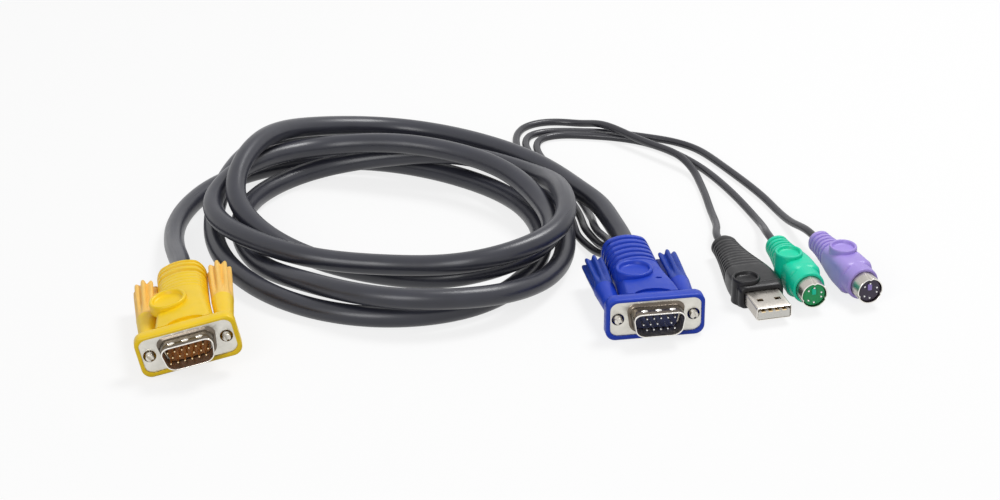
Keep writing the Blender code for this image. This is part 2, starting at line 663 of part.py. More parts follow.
def leaning_height(width, height, radius, roll):
    """How high the middle of a rounded outline is when it stands on one corner, leaning by roll."""
    a = math.radians(roll)
    reach = corner_radius(radius, math.pi / 2)
    return (height / 2 - radius) * math.cos(a) + (width / 2 - radius) * math.sin(a) + reach


def build():
    for obj in list(bpy.data.objects):
        bpy.data.objects.remove(obj, do_unlink=True)

    sheath = material("cord_grey", (0.055, 0.055, 0.072), 0.45)
    yellow_pvc = material("yellow_pvc", (0.87, 0.55, 0.012), 0.45)
    yellow_knob = material("yellow_knob", (0.87, 0.50, 0.07), 0.5)
    blue_pvc = material("blue_pvc", (0.035, 0.06, 0.52), 0.4)
    nickel = material("nickel", (0.72, 0.69, 0.64), 0.28, 1.0)
    steel = material("steel", (0.60, 0.58, 0.54), 0.3, 1.0)
    gold = material("gold", (0.90, 0.70, 0.38), 0.25, 1.0)
    brown = material("brown_insulator", (0.085, 0.028, 0.008), 0.5)
    dark = material("dark_insulator", (0.006, 0.007, 0.02), 0.45)
    black = material("black_pvc", (0.028, 0.027, 0.03), 0.42)
    cream = material("cream_tongue", (0.86, 0.82, 0.72), 0.45)
    green_pvc = material("green_pvc", (0.0, 0.62, 0.36), 0.4)
    green_core = material("green_insulator", (0.004, 0.12, 0.045), 0.4)
    purple_pvc = material("purple_pvc", (0.38, 0.28, 0.75), 0.42)
    purple_core = material("purple_insulator", (0.05, 0.035, 0.07), 0.4)

    lean = leaning_height(FLANGE_W, FLANGE_H, FLANGE_R, YELLOW_ROLL)
    yellow = plug_frame("yellow", YELLOW_AT, lean, YELLOW_ROLL)
    blue = plug_frame("blue", BLUE_AT, FLANGE_H / 2)
    usb = plug_frame("usb", USB_AT, USB_H / 2)
    green = plug_frame("green", GREEN_AT, DIN_COLLAR_D / 2)
    purple = plug_frame("purple", PURPLE_AT, DIN_COLLAR_D / 2)
    bpy.context.view_layer.update()

    hood(yellow, yellow_pvc, 3, 0.0, YELLOW_REST_X)
    plate(yellow, nickel)
    insulator(yellow, brown)
    pins(yellow, gold, [(6, -0.25, None), (6, 0.25, None), (6, -0.25, None)])

    blue_hood = hood(blue, blue_pvc, 5, CABLE_EXIT_X, BLUE_REST_X)
    slot = rounded(CORD_D + 2 * GAP, CORD_D + 2 * GAP + 2 * CORD_EXIT_PITCH, CORD_D / 2 + GAP, CORD_EXIT_X)
    depth = GRIP + GAP
    cut(blue_hood, loft("blue_cord_slot", [(HOOD_L - depth, slot), (HOOD_L + depth, slot)], blue_pvc, blue))
    plate(blue, nickel)
    insulator(blue, dark)
    pins(blue, nickel, [(5, 0.25, None), (5, -0.25, 3), (5, 0.25, None)])

    for side in (-1, 1):
        thumbscrew(yellow, side, YELLOW_KNOB_L, steel, yellow_knob)
        thumbscrew(blue, side, BLUE_KNOB_L, steel, blue_pvc)

    usb_plug(usb, black, nickel, cream)
    din_plug(green, green_pvc, nickel, green_core, GREEN_REST_X, GREEN_REST_Y)
    din_plug(purple, purple_pvc, nickel, purple_core, PURPLE_REST_X, PURPLE_REST_Y)

    main = exit_line(yellow, HOOD_L, 0.0, 0.0, 1.5 * MM)
    main += table(YELLOW_LEAD + coil_points() + BLUE_LEAD[::-1])
    main += exit_line(blue, HOOD_L, CABLE_EXIT_X, 0.0, 1.5 * MM)[::-1]
    cord("main_cable", main, CABLE_D, CABLE_PITCH, 3, sheath)
    routes = [("usb", -1, USB_ROUTE, usb, USB_L), ("purple", 0, PURPLE_ROUTE, purple, DIN_L),
              ("green", 1, GREEN_ROUTE, green, DIN_L)]
    for name, place_in_slot, route, plug, length in routes:
        points = exit_line(blue, HOOD_L, CORD_EXIT_X, place_in_slot * CORD_EXIT_PITCH, 1.0 * MM)
        points += table(route)
        points += exit_line(plug, length, 0.0, 0.0, 2.0 * MM)[::-1]
        cord(name + "_cord", points, CORD_D, CORD_PITCH, 2, sheath)


build()
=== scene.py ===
# %% [markdown]
# # A KVM cable
# One thick grey cable lies in about four and a half loose turns, with a moulded video plug at each
# end. Three thin cords leave the blue plug for a USB plug and two round mini-DIN plugs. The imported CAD
# model comes in first. It fixes every size and place, and the pieces made here are dressed over it.

import math

import bmesh
import bpy
import numpy as np
from mathutils import Matrix, Vector


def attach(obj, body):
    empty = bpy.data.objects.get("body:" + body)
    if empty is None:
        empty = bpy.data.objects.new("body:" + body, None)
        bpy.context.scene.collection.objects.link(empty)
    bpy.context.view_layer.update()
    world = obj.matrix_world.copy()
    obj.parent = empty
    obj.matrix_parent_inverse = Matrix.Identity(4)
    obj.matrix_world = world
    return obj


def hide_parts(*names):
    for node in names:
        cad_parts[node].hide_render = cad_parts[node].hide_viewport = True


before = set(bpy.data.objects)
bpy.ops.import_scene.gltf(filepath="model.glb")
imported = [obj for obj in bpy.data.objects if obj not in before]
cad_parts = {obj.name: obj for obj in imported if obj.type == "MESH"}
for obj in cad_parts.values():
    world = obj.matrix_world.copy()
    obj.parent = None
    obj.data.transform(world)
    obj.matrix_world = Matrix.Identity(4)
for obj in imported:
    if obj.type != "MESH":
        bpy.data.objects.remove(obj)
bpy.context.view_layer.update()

# %% [markdown]
# ## Units and places
# The frame is in metres, but a plug is easier to think of in its own millimetres: X to the right as its
# mouth is seen, Z up, and the mouth looking along -Y, with the shoulder of the moulding at y = 0. So each
# plug gets a seat, one matrix that takes its own millimetres to its place on the table. A finished piece
# is put through its seat, so that its object stays at the origin, unturned.

# %% Seats of the five plugs


def add(name, data):
    """A new object in the scene."""
    thing = bpy.data.objects.new(name, data)
    bpy.context.collection.objects.link(thing)
    return thing


MM = 0.001
TABLE_MIDDLE = Vector((3.095, -48.935, 0.0)) * MM


def plug_seat(x, y, yaw, height, roll=0.0):
    """The matrix that lays a plug on the table."""
    spot = Vector((x, y, height)) * MM - TABLE_MIDDLE
    turn = Matrix.Rotation(math.radians(yaw), 4, "Z") @ Matrix.Rotation(-math.radians(roll), 4, "Y")
    return Matrix.Translation(spot) @ turn @ Matrix.Scale(MM, 4)


seats = {"yellow": plug_seat(-98.2, -90.0, 7.6, 10.949, 13.0),
         "blue": plug_seat(50.4, -64.3, 10.0, 7.9),
         "usb": plug_seat(86.4, -43.4, 15.0, 4.5),
         "green": plug_seat(101.1, -38.0, 14.3, 6.5),
         "purple": plug_seat(119.0, -35.1, 19.9, 6.5)}
print("yellow shoulder at", [round(c / MM, 1) for c in seats["yellow"].translation], "mm")

# %% [markdown]
# ## Camera
# The camera comes first. It looks down from a metre away, with a long lens, which keeps the near and
# far parts of the cable about the same size.

# %% Camera
LENS = 108.0
LOOKS_DOWN = 26.5
camera_data = bpy.data.cameras.new("camera")
camera_data.lens = LENS
camera_data.sensor_width = 36.0
camera = add("camera", camera_data)
camera.location = (-0.003095, -0.872865, 0.4596)
camera.rotation_euler = (math.radians(90.0 - LOOKS_DOWN), 0.0, 0.0)
bpy.context.scene.camera = camera
print("camera", [round(c, 3) for c in camera.location])

# %% [markdown]
# ## Routes of the cords
# A cord is a fixed length of something springy, so it runs in one smooth curve with no kinks. Its route
# is a list of points, joined by a natural cubic spline, which is the curve that a thin elastic strip would
# take. The coil is easier to write as turns round a middle, with a radius and a height every 30 degrees.
# A thin cord mostly lies on the table, so its points only have a height where it is lifted.

# %% Route points, in millimetres on the table
COIL_MIDDLE = (-38.0, 8.0)
STATIONS = 12
COIL = [
    [(74, 4.3), (72, 3.9), (64.5, 3.8), (54.6, 3.75), (49, 3.75), (49.2, 3.75),
     (51.8, 3.75), (56.8, 3.75), (63.4, 3.75), (64.4, 3.75), (61.9, 3.75), (59.8, 3.9)],
    [(60.8, 4.5), (66, 10.4), (74, 11.4), (74, 5), (65.5, 3.9), (61, 3.9),
     (60.2, 3.9), (65.5, 5.2), (71.5, 10.5), (66, 11.9), (55.3, 8.8), (50.6, 4.2)],
    [(51.5, 3.9), (54.6, 3.8), (54.8, 4.8), (48.4, 9.5), (49.8, 12.1), (56.7, 12.1),
     (59.2, 18.6), (65, 19.6), (57, 16.4), (43, 12), (45.4, 12.5), (52.2, 13)],
    [(60.7, 13), (57.6, 15.4), (53.8, 14), (43.6, 16.8), (42.8, 16.4), (46.8, 14.9),
     (53.6, 11.8), (59.6, 12.3), (51, 8.6), (35.5, 4.3), (32.5, 4.1), (42, 9.2)],
    [(52.4, 16.8), (55.3, 23.2), (62.5, 18.4), (67, 12.4), (62.8, 11.9), (65, 11)],
]
YELLOW_LEAD = [(-106.2, -30.5, 9.8), (-108.6, -19.0, 7.8), (-110.9, -6.5, 5.6)]
BLUE_LEAD = [(41.3, -6.5, 8.2), (38.8, 2.5, 8.9), (34.4, 15.5, 9.8), (28.0, 26.5, 10.2)]
USB_ROUTE = [
    (33.6, -8.5, 3.2), (30.0, 0, 1.8), (27.0, 8), (25.6, 17), (24.3, 25), (22.2, 34), (18.5, 44.5),
    (13.5, 56), (9.5, 67), (7, 77), (6, 86), (6.5, 93), (9.4, 99.5), (15.3, 103.5), (23, 104.2),
    (30, 102, 2.0), (37, 96, 4.4), (48, 85, 4.7), (58, 75, 4.7), (65, 67.5, 4.5), (69.5, 60, 2.6),
    (71.5, 52), (73, 40), (74.3, 26), (75, 12, 3)]
PURPLE_ROUTE = [
    (34.4, -9, 6.4), (31.9, 0, 4.6), (30, 8, 3.4), (28.9, 17, 1.7), (27.7, 25), (25.5, 34), (21.9, 45),
    (17, 57), (13, 68), (10.4, 78), (9.5, 86), (11.3, 91.8), (15.8, 94.9), (22, 95.8), (30, 95.6),
    (41, 94.5), (53, 91), (64, 86.5), (72, 80), (77.5, 71.5), (83, 61), (89, 49), (94, 37.5), (98, 26, 1.7),
    (101.5, 14.5, 3.4)]
GREEN_ROUTE = [
    (35, -9, 9.8), (33.2, 0, 7.6), (32.3, 8, 5.9), (32.1, 17, 3.3), (31.3, 25), (29, 34.5), (25.3, 45.5),
    (20.4, 58), (16.3, 69), (13.7, 79), (13.7, 84.5), (15.6, 89), (20, 91.7), (30, 92.2), (41, 90.5),
    (52, 86.5), (61, 79.5), (67, 72.5), (73.5, 62.5), (79.5, 50), (84.7, 36.5), (88.7, 24, 1.6),
    (91, 12, 3.2)]
LYING = 1.5
INSIDE = 4.7
DEEP_INSIDE = 8.5


def coil_points():
    """The turns of the coil, clockwise from the left, as points on the table."""
    points = []
    for turn in COIL:
        for i, (radius, height) in enumerate(turn):
            a = math.pi - 2 * math.pi * i / STATIONS
            x = COIL_MIDDLE[0] + radius * math.cos(a)
            y = COIL_MIDDLE[1] + radius * math.sin(a)
            points.append((x, y, height))
    return points


def table(points):
    """Points on the table, in metres in the frame."""
    return [Vector((*point, LYING)[:3]) * MM - TABLE_MIDDLE for point in points]


def exit_line(plug, length, x, z, reach, inside=INSIDE):
    """The straight end of a cord, from inside a moulding to just behind it."""
    return [seats[plug] @ Vector((x, length + y, z)) for y in (-inside, 0.0, reach)]


print("coil stations:", len(coil_points()))

# %% [markdown]
# The spline is solved with numpy and read every millimetre or two, so that the drawn curve needs no
# handles. Both ends keep their own straight points, because a cord comes straight out of a moulding.

# %% From route to curve


def spline(points, pitch):
    """A natural cubic spline through the points, read at an even pitch along its length."""
    p = np.array(points)
    h = np.linalg.norm(np.diff(p, axis=0), axis=1)
    s = np.concatenate([[0.0], np.cumsum(h)])
    n = len(p)
    a = np.eye(n)
    b = np.zeros_like(p)
    for i in range(1, n - 1):
        a[i, i - 1:i + 2] = h[i - 1], 2 * (h[i - 1] + h[i]), h[i]
        b[i] = 6 * ((p[i + 1] - p[i]) / h[i] - (p[i] - p[i - 1]) / h[i - 1])
    m = np.linalg.solve(a, b)
    fine = []
    for i in range(n - 1):
        for t in np.linspace(0.0, 1.0, 24, endpoint=False):
            u = 1 - t
            bend = (u ** 3 - u) * m[i] + (t ** 3 - t) * m[i + 1]
            fine.append(u * p[i] + t * p[i + 1] + bend * h[i] ** 2 / 6)
    fine = np.array(fine + [p[-1]])
    run = np.concatenate([[0.0], np.cumsum(np.linalg.norm(np.diff(fine, axis=0), axis=1))])
    marks = np.linspace(0.0, run[-1], round(run[-1] / pitch) + 1)
    return np.stack([np.interp(marks, run, fine[:, k]) for k in range(3)], axis=1), run[-1]


def draw_cord(name, points, diameter, pitch, roundness):
    """One open spline with a round section, and its length. The points hold the radius, because the
    curve's own box is grown by it."""
    track, length = spline(points, pitch)
    curve = bpy.data.curves.new(name, "CURVE")
    curve.dimensions = "3D"
    curve.twist_mode = "MINIMUM"
    curve.bevel_depth = 1.0
    curve.bevel_resolution = roundness
    curve.use_fill_caps = True
    line = curve.splines.new("POLY")
    line.points.add(len(track) - 1)
    for point, co in zip(line.points, track):
        point.co = (*co, 1.0)
        point.radius = diameter / 2
    line.use_smooth = True
    print(f"{name}: {length / MM:.0f} mm long, {len(track)} points")
    return add(name, curve), length


# %% [markdown]
# ## The four cords
# All four leave the back of the blue plug: the thick cable, and beside it the three thin cords one above
# the other. Each stands for the plain tube in the CAD model.

# %% Cords
CABLE_D = 7.0
CORD_D = 2.7
HOOD_L = 49.0
USB_L = 42.7
DIN_L = 35.0
CORD_EXIT_X = -5.1
CORD_EXIT_PITCH = 3.0
CABLE_EXIT_X = 1.05

cords = {}


def lay_cord(key, node, points, diameter, pitch, roundness):
    """Draw a cord, and let it stand for its tube in the CAD model."""
    cord, length = draw_cord(f"grey_{node}", points, diameter * MM, pitch * MM, roundness)
    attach(cord, "cable")
    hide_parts(node)
    cords[key] = (cord, points[1], length)


points = exit_line("blue", HOOD_L, CABLE_EXIT_X, 0.0, 1.5)
points += table(BLUE_LEAD + coil_points()[::-1] + YELLOW_LEAD[::-1])
points += exit_line("yellow", HOOD_L, 0.0, 0.0, 1.5)[::-1]
lay_cord("main", "main_cable", points, CABLE_D, 2.0, 7)

for plug, place, route, plug_length in (("usb", -1, USB_ROUTE, USB_L), ("purple", 0, PURPLE_ROUTE, DIN_L),
                                        ("green", 1, GREEN_ROUTE, DIN_L)):
    points = exit_line("blue", HOOD_L, CORD_EXIT_X, place * CORD_EXIT_PITCH, 1.0)
    points += table(route)
    points += exit_line(plug, plug_length, 0.0, 0.0, 2.0, DEEP_INSIDE)[::-1]
    lay_cord(plug, f"{plug}_cord", points, CORD_D, 1.2, 5)

# %% [markdown]
# ## Finishes
# Most of the object is moulded plastic. Up close that is never one flat colour: the pigment is a little
# uneven, the steel mould leaves a fine spark-eroded grain, and fingers polish it here and there. Noise
# textures at different scales do this. They read Object coordinates, and every finished piece has its
# object at the origin, so the same grain runs over all of them at its true size. Nearly all of a noise
# lies between 0.3 and 0.7, so that range is spread over the whole of what it drives.

# %% Helpers for node materials
NOISE_RANGE = (0.3, 0.7)


def set_inputs(tree, node, **inputs):
    """Give each named input of a node its value, or connect the output given for it."""
    for name, value in inputs.items():
        socket = node.inputs[name.replace("_", " ")]
        if isinstance(value, bpy.types.NodeSocket):
            tree.links.new(value, socket)
        elif value is not None:
            socket.default_value = value


def new_node(tree, kind, **inputs):
    """Add a node to the left of the others, and set its inputs."""
    node = tree.nodes.new(kind)
    node.location = (-200 * len(tree.nodes), 0)
    set_inputs(tree, node, **inputs)
    return node


def noise(tree, per_metre, detail, stretch=None, space="Object"):
    """A noise texture over the piece, with so many features per metre."""
    source = new_node(tree, "ShaderNodeTexCoord").outputs[space]
    if stretch:
        source = new_node(tree, "ShaderNodeMapping", Vector=source, Scale=stretch).outputs["Vector"]
    return new_node(tree, "ShaderNodeTexNoise", Vector=source, Scale=per_metre, Detail=detail).outputs["Fac"]


def between(tree, factor, low, high, given=NOISE_RANGE):
    """Turn a factor, given in its own range, into a number from low to high."""
    return new_node(tree, "ShaderNodeMapRange", Value=factor, From_Min=given[0], From_Max=given[1],
                    To_Min=low, To_Max=high).outputs["Result"]


def tinted(tree, factor, colour, spread):
    """Turn a texture into a colour that wanders a little round the given one."""
    ramp = new_node(tree, "ShaderNodeValToRGB", Fac=factor)
    for stop, place, light in zip(ramp.color_ramp.elements, NOISE_RANGE, (1 - spread, 1 + spread)):
        stop.position = place
        stop.color = (*[min(1.0, c * light) for c in colour], 1.0)
    return ramp.outputs["Color"]


def bumped(tree, factor, strength, depth, before=None):
    """A bump node; depth is the height of the grain in millimetres."""
    return new_node(tree, "ShaderNodeBump", Height=factor, Normal=before, Strength=strength,
                    Distance=depth * MM).outputs["Normal"]


def new_finish(name, **inputs):
    """A material, with its node tree and its Principled shader at hand."""
    finish = bpy.data.materials.new(name)
    finish.use_nodes = True
    shader = finish.node_tree.nodes["Principled BSDF"]
    set_inputs(finish.node_tree, shader, **inputs)
    return finish, finish.node_tree, shader


print("helpers for finishes ready")

# %% [markdown]
# A moulded finish has four noises: clouds in the pigment, smears in the roughness, slow waves where the
# plastic has shrunk, and the mould's sparks. The yellow knobs' finishes let a little light in.

# %% Moulded plastics


def moulded(name, colour, rough=(0.36, 0.5), spread=0.05, grain=0.35, sub=0.0, shine=0.45):
    """Moulded PVC or resin with a fine eroded grain."""
    finish, tree, shader = new_finish(name, Specular_IOR_Level=shine)
    cloud = noise(tree, 90.0, 3.0)
    smear = noise(tree, 420.0, 4.0)
    wave = bumped(tree, noise(tree, 260.0, 2.0), 0.25, 0.12)
    spark = bumped(tree, noise(tree, 3600.0, 2.0), grain, 0.03, wave)
    set_inputs(tree, shader, Base_Color=tinted(tree, cloud, colour, spread),
               Roughness=between(tree, smear, *rough), Normal=spark)
    if sub:
        set_inputs(tree, shader, Subsurface_Weight=sub, Subsurface_Radius=(1.0, 0.6, 0.3),
                   Subsurface_Scale=0.6 * MM)
    return finish


yellow_pvc = moulded("yellow_moulding", (0.92, 0.62, 0.004), (0.34, 0.46))
yellow_grip = moulded("yellow_grip", (0.94, 0.57, 0.12), (0.42, 0.55), sub=0.15)
yellow_shaft = moulded("yellow_shaft", (0.93, 0.62, 0.015), (0.36, 0.48), sub=0.1)
blue_pvc = moulded("blue_moulding", (0.008, 0.048, 0.49), (0.34, 0.46), shine=0.35)
blue_grip = moulded("blue_grip", (0.004, 0.04, 0.34), shine=0.35)
green_pvc = moulded("green_moulding", (0.0, 0.66, 0.40), (0.34, 0.48))
purple_pvc = moulded("purple_moulding", (0.40, 0.30, 0.75), (0.34, 0.48))
black_pvc = moulded("black_moulding", (0.013, 0.0125, 0.014), (0.3, 0.44), shine=0.3)
print("moulded finishes:", len([m for m in bpy.data.materials if "moulding" in m.name]))

# %% [markdown]
# The insulators in the plugs' mouths are a harder, shinier resin, and the USB tongue is plain cream
# resin. They take the same recipe with less grain.

# %% Resins
brown_resin = moulded("brown_resin", (0.32, 0.12, 0.022), (0.3, 0.42), 0.25, 0.15)
dark_resin = moulded("dark_resin", (0.010, 0.018, 0.085), (0.25, 0.4), 0.2, 0.15)
cream_resin = moulded("cream_resin", (0.93, 0.91, 0.85), (0.35, 0.5), 0.03, 0.15)
green_resin = moulded("green_resin", (0.003, 0.30, 0.09), (0.28, 0.42), 0.25, 0.15)
purple_resin = moulded("purple_resin", (0.05, 0.036, 0.068), (0.28, 0.42), 0.2, 0.15)
print("resins ready")

# %% [markdown]
# ## Sheath of the cords
# The sheath is extruded, so its marks run along it: faint streaks where the die has drawn the plastic,
# and a slow unevenness from the bundle inside. A curve carries a UV map with one axis along it, and a
# noise squeezed across and stretched along that map gives the streaks.

# %% Sheath finish


def sheath(name, colour, along, around):
    """Extruded PVC with streaks that run along the cord."""
    finish, tree, shader = new_finish(name, Specular_IOR_Level=0.6)
    streak = noise(tree, 1.0, 3.0, (along, around, 1.0), "UV")
    cloud = noise(tree, 130.0, 3.0)
    lump = bumped(tree, noise(tree, 160.0, 1.0), 0.3, 0.25)
    grain = bumped(tree, noise(tree, 2600.0, 2.0), 0.25, 0.03, lump)
    set_inputs(tree, shader, Base_Color=tinted(tree, cloud, colour, 0.12),
               Roughness=between(tree, streak, 0.27, 0.4), Normal=grain)
    return finish


cable_sheath = sheath("grey_sheath", (0.024, 0.025, 0.037), 60.0, 14.0)
cord_sheath = sheath("grey_thin_sheath", (0.016, 0.0155, 0.023), 30.0, 8.0)
for name, (cord, leaves, length) in cords.items():
    cord.data.materials.append(cable_sheath if name == "main" else cord_sheath)
print("sheathed cords:", list(cords))

# %% [markdown]
# ## Metals
# The plates are nickel plated steel, pressed and tumbled, so they are bright but a little cloudy, with
# faint patches of warmer and cooler grey. The collar is drawn deep out of the plate. The outside of its
# wall is painted darker than the flat, as painted shade and reflection; its front edge and its dimples are
# painted brighter, as a painted highlight; and its inside is a warm mid grey, as painted shade and a
# painted reflection of the brown insulator. The yellow plug's pins have a thin gold flash.

# %% Metal finishes


def plated(name, colour, rough, spread):
    """Plated metal with cloudy patches and a fine tumbled grain."""
    finish, tree, shader = new_finish(name, Metallic=1.0)
    patches = noise(tree, 240.0, 5.0)
    smear = noise(tree, 900.0, 4.0)
    grit = bumped(tree, noise(tree, 5200.0, 2.0), 0.2, 0.015)
    set_inputs(tree, shader, Base_Color=tinted(tree, patches, colour, spread),
               Roughness=between(tree, smear, *rough), Normal=grit)
    return finish


plate_nickel = plated("plate_nickel", (0.70, 0.68, 0.62), (0.32, 0.48), 0.07)
# painted shade and reflection: dark nickel on the collar's outer wall, for the shade at its flare and the
# dark it reflects
painted_shade_collar_nickel = plated("painted_shade_collar_nickel", (0.15, 0.125, 0.10), (0.18, 0.28), 0.2)
# painted shade and reflection: a warm mid grey inside the collar, for the brown insulator it reflects
painted_reflection_nickel = plated("painted_reflection_nickel", (0.50, 0.46, 0.42), (0.34, 0.44), 0.1)
# painted highlight: brighter, smoother nickel on the front edges of the collar and shells and on the dimples
painted_highlight_nickel = plated("painted_highlight_nickel", (0.86, 0.83, 0.78), (0.16, 0.26), 0.04)
screw_steel = plated("screw_steel", (0.66, 0.63, 0.57), (0.2, 0.32), 0.12)
pin_gold = plated("pin_gold", (0.93, 0.72, 0.42), (0.18, 0.3), 0.06)
pin_nickel = plated("pin_nickel", (0.80, 0.80, 0.80), (0.18, 0.3), 0.05)
shell_nickel = plated("shell_nickel", (0.50, 0.47, 0.43), (0.26, 0.36), 0.04)
print("metals ready")

# %% [markdown]
# ## Shaping a moulding
# A moulding here is a long form whose outline changes along its length. It starts as one flat face, a
# grid cell whose four corners are bevelled. That face is extruded along Y again and again, and each new
# edge is scaled to the size that the form has there. A groove is just a few short steps in and out. So
# the corners keep their points in line from end to end, and the surface stays clean.

# %% Helpers for faces
FACING_Y = Matrix.Rotation(math.pi / 2, 4, "X")


def outline(bm, width, height, corner, y, x=0.0, z=0.0, steps=8, lean=0.0, cuts=0):
    """A flat face with rounded corners. Lean draws its lower corners in, for a D, and cuts adds points
    to its straight edges, so that they can be rounded later."""
    verts = bmesh.ops.create_grid(bm, x_segments=1, y_segments=1, size=0.5)["verts"]
    place = Matrix.Translation((x, y, z)) @ FACING_Y @ Matrix.Diagonal((width, height, 1.0, 1.0))
    bmesh.ops.transform(bm, matrix=place, verts=verts)
    for v in verts:
        if v.co.z < z:
            v.co.x -= math.copysign(lean, v.co.x - x)
    made = bmesh.ops.bevel(bm, geom=verts, offset=corner, offset_type="OFFSET", segments=steps, profile=0.5,
                           affect="VERTICES", material=-1, clamp_overlap=True)
    face = made["verts"][0].link_faces[0]
    if cuts:
        straight = [e for e in face.edges if e.calc_length() > 1.0]
        parts = bmesh.ops.bisect_edges(bm, edges=straight, cuts=cuts)["geom_split"]
        face = next(part for part in parts if isinstance(part, bmesh.types.BMEdge)).link_faces[0]
    return face


def disc(bm, diameter, y, x=0.0, z=0.0, segments=64):
    """A flat round face that looks along Y."""
    place = Matrix.Translation((x, y, z)) @ FACING_Y
    made = bmesh.ops.create_circle(bm, cap_ends=True, segments=segments, radius=diameter / 2, matrix=place)
    return made["verts"][0].link_faces[0]


def spread_of(face):
    """Width, height and middle of a face in X and Z."""
    xs = [v.co.x for v in face.verts]
    zs = [v.co.z for v in face.verts]
    middle = Vector(((min(xs) + max(xs)) / 2, 0.0, (min(zs) + max(zs)) / 2))
    return max(xs) - min(xs), max(zs) - min(zs), middle


def push(bm, face, along, width=None, height=None):
    """Extrude an end face along Y, and scale its new edge to a width and a height."""
    made = bmesh.ops.extrude_face_region(bm, geom=[face, *face.edges, *face.verts])["geom"]
    face = next(part for part in made if isinstance(part, bmesh.types.BMFace))
    bmesh.ops.translate(bm, verts=list(face.verts), vec=(0.0, along, 0.0))
    if width:
        wide, high, middle = spread_of(face)
        scale = Matrix.Diagonal((width / wide, 1.0, height / high, 1.0))
        about = Matrix.Translation(middle) @ scale @ Matrix.Translation(-middle)
        bmesh.ops.transform(bm, matrix=about, verts=list(face.verts))
    return face


def round_off(face, share):
    """Move every point of an edge part of the way to the oval of the same width and height."""
    wide, high, middle = spread_of(face)
    for v in face.verts:
        out = math.hypot((v.co.x - middle.x) / (wide / 2), (v.co.z - middle.z) / (high / 2))
        reach = (out + share * (1 - out)) / out
        v.co.x = middle.x + (v.co.x - middle.x) * reach
        v.co.z = middle.z + (v.co.z - middle.z) * reach


def run_through(bm, face, stations):
    """Push an end face through stations of (y, width, height), and how oval it is there, if that changes."""
    y = face.verts[0].co.y
    oval = 0.0
    for at, width, height, *rounder in stations:
        face = push(bm, face, at - y, width, height)
        if rounder and rounder[0] > oval:
            round_off(face, (rounder[0] - oval) / (1 - oval))
            oval = rounder[0]
        y = at
    return face


print("helpers for faces ready")

# %% [markdown]
# The stations of a form are mostly cuts from one size, or round. A moulding's body is written as plain
# stations, its grooves and its rounded tail. Straight bars and turned rods are used for holes too.

# %% Helpers for stations and solids


def smaller(size, steps):
    """Stations where a size is cut down; a step is (y, cut), or (y, cut in width, cut in height)."""
    return [(y, size[0] - cuts[0], size[1] - cuts[-1]) for y, *cuts in steps]


def grooved(size, plain, grooves, length, start, y, steps):
    """Stations of a body: plain ones, grooves of (start, width, depth) whose sides open a little, and a
    tail from start before its end, whose steps are (distance to the end, inset from the outline at y)."""
    stations = [(at, *size(at)) for at in plain]
    for near, width, depth in grooves:
        far = near + width
        slope = 0.25 * depth
        stations += [(near, *size(near)), (near + slope, *size(near, depth)),
                     (far - slope, *size(far, depth)), (far, *size(far))]
    stations.append((length - start, *size(length - start)))
    return stations + [(length - back, *size(y, inset)) for back, inset in steps]


def other_end(bm, face):
    """The flat face at the other end of a form that has been pushed once."""
    return next(f for f in bm.faces if len(f.verts) > 4 and f is not face)


def ease(start, end, t):
    """Start to end with a soft beginning and a soft stop."""
    t = min(max(t, 0.0), 1.0)
    return start + (end - start) * t * t * (3 - 2 * t)


def solid(bm, name):
    """A bmesh as an object, still in its plug's own millimetres."""
    bmesh.ops.remove_doubles(bm, verts=bm.verts, dist=0.0005)
    bmesh.ops.recalc_face_normals(bm, faces=bm.faces)
    mesh = bpy.data.meshes.new(name)
    bm.to_mesh(mesh)
    bm.free()
    return add(name, mesh)


def bar(name, length, *section, **more):
    """A straight piece along Y, with the section that outline draws."""
    bm = bmesh.new()
    push(bm, outline(bm, *section, **more), length)
    return solid(bm, name)


def turned(places, steps, segments=64):
    """A bmesh of round bars along Y at places (x, z), turned to steps of (y, diameter)."""
    bm = bmesh.new()
    for x, z in places:
        face = disc(bm, steps[0][1], steps[0][0], x, z, segments)
        run_through(bm, face, [(y, diameter, diameter) for y, diameter in steps[1:]])
    return bm


def rod(name, diameter, length, place, upright=False, segments=40, oval=1.0):
    """A round piece along Y, or an upright one, centred on its place; oval widens it along X."""
    bm = bmesh.new()
    bmesh.ops.create_cone(bm, cap_ends=True, segments=segments, radius1=diameter / 2, radius2=diameter / 2,
                          depth=length)
    turn = Matrix.Identity(4) if upright else FACING_Y
    shape = Matrix.Translation(place) @ turn @ Matrix.Diagonal((oval, 1, 1, 1))
    bmesh.ops.transform(bm, matrix=shape, verts=bm.verts)
    return solid(bm, name)


print("shape helpers ready")

# %% [markdown]
# A moulding has no knife edges, so its sharp edges are rounded by a Bevel modifier. Hollows, holes and
# slots are cut with Boolean modifiers. Then the modifiers are applied, because a finished piece goes
# through its plug's seat and must carry its place in its mesh. The finishes go onto the cutting tools
# too, so that the faces they leave behind keep theirs.

# %% Helpers for finishing a piece
plug_pieces = {plug: [] for plug in seats}


def soften(piece, width, angle=38):
    """Round the sharp edges of a piece."""
    bevel = piece.modifiers.new("soft edges", "BEVEL")
    bevel.width = width
    bevel.segments = 2
    bevel.limit_method = "ANGLE"
    bevel.angle_limit = math.radians(angle)
    bevel.use_clamp_overlap = True


def carve(piece, tool, operation="DIFFERENCE"):
    """Cut a tool out of a piece, or weld it on with UNION."""
    boolean = piece.modifiers.new(tool.name, "BOOLEAN")
    boolean.operation = operation
    boolean.solver = "EXACT"
    boolean.object = tool


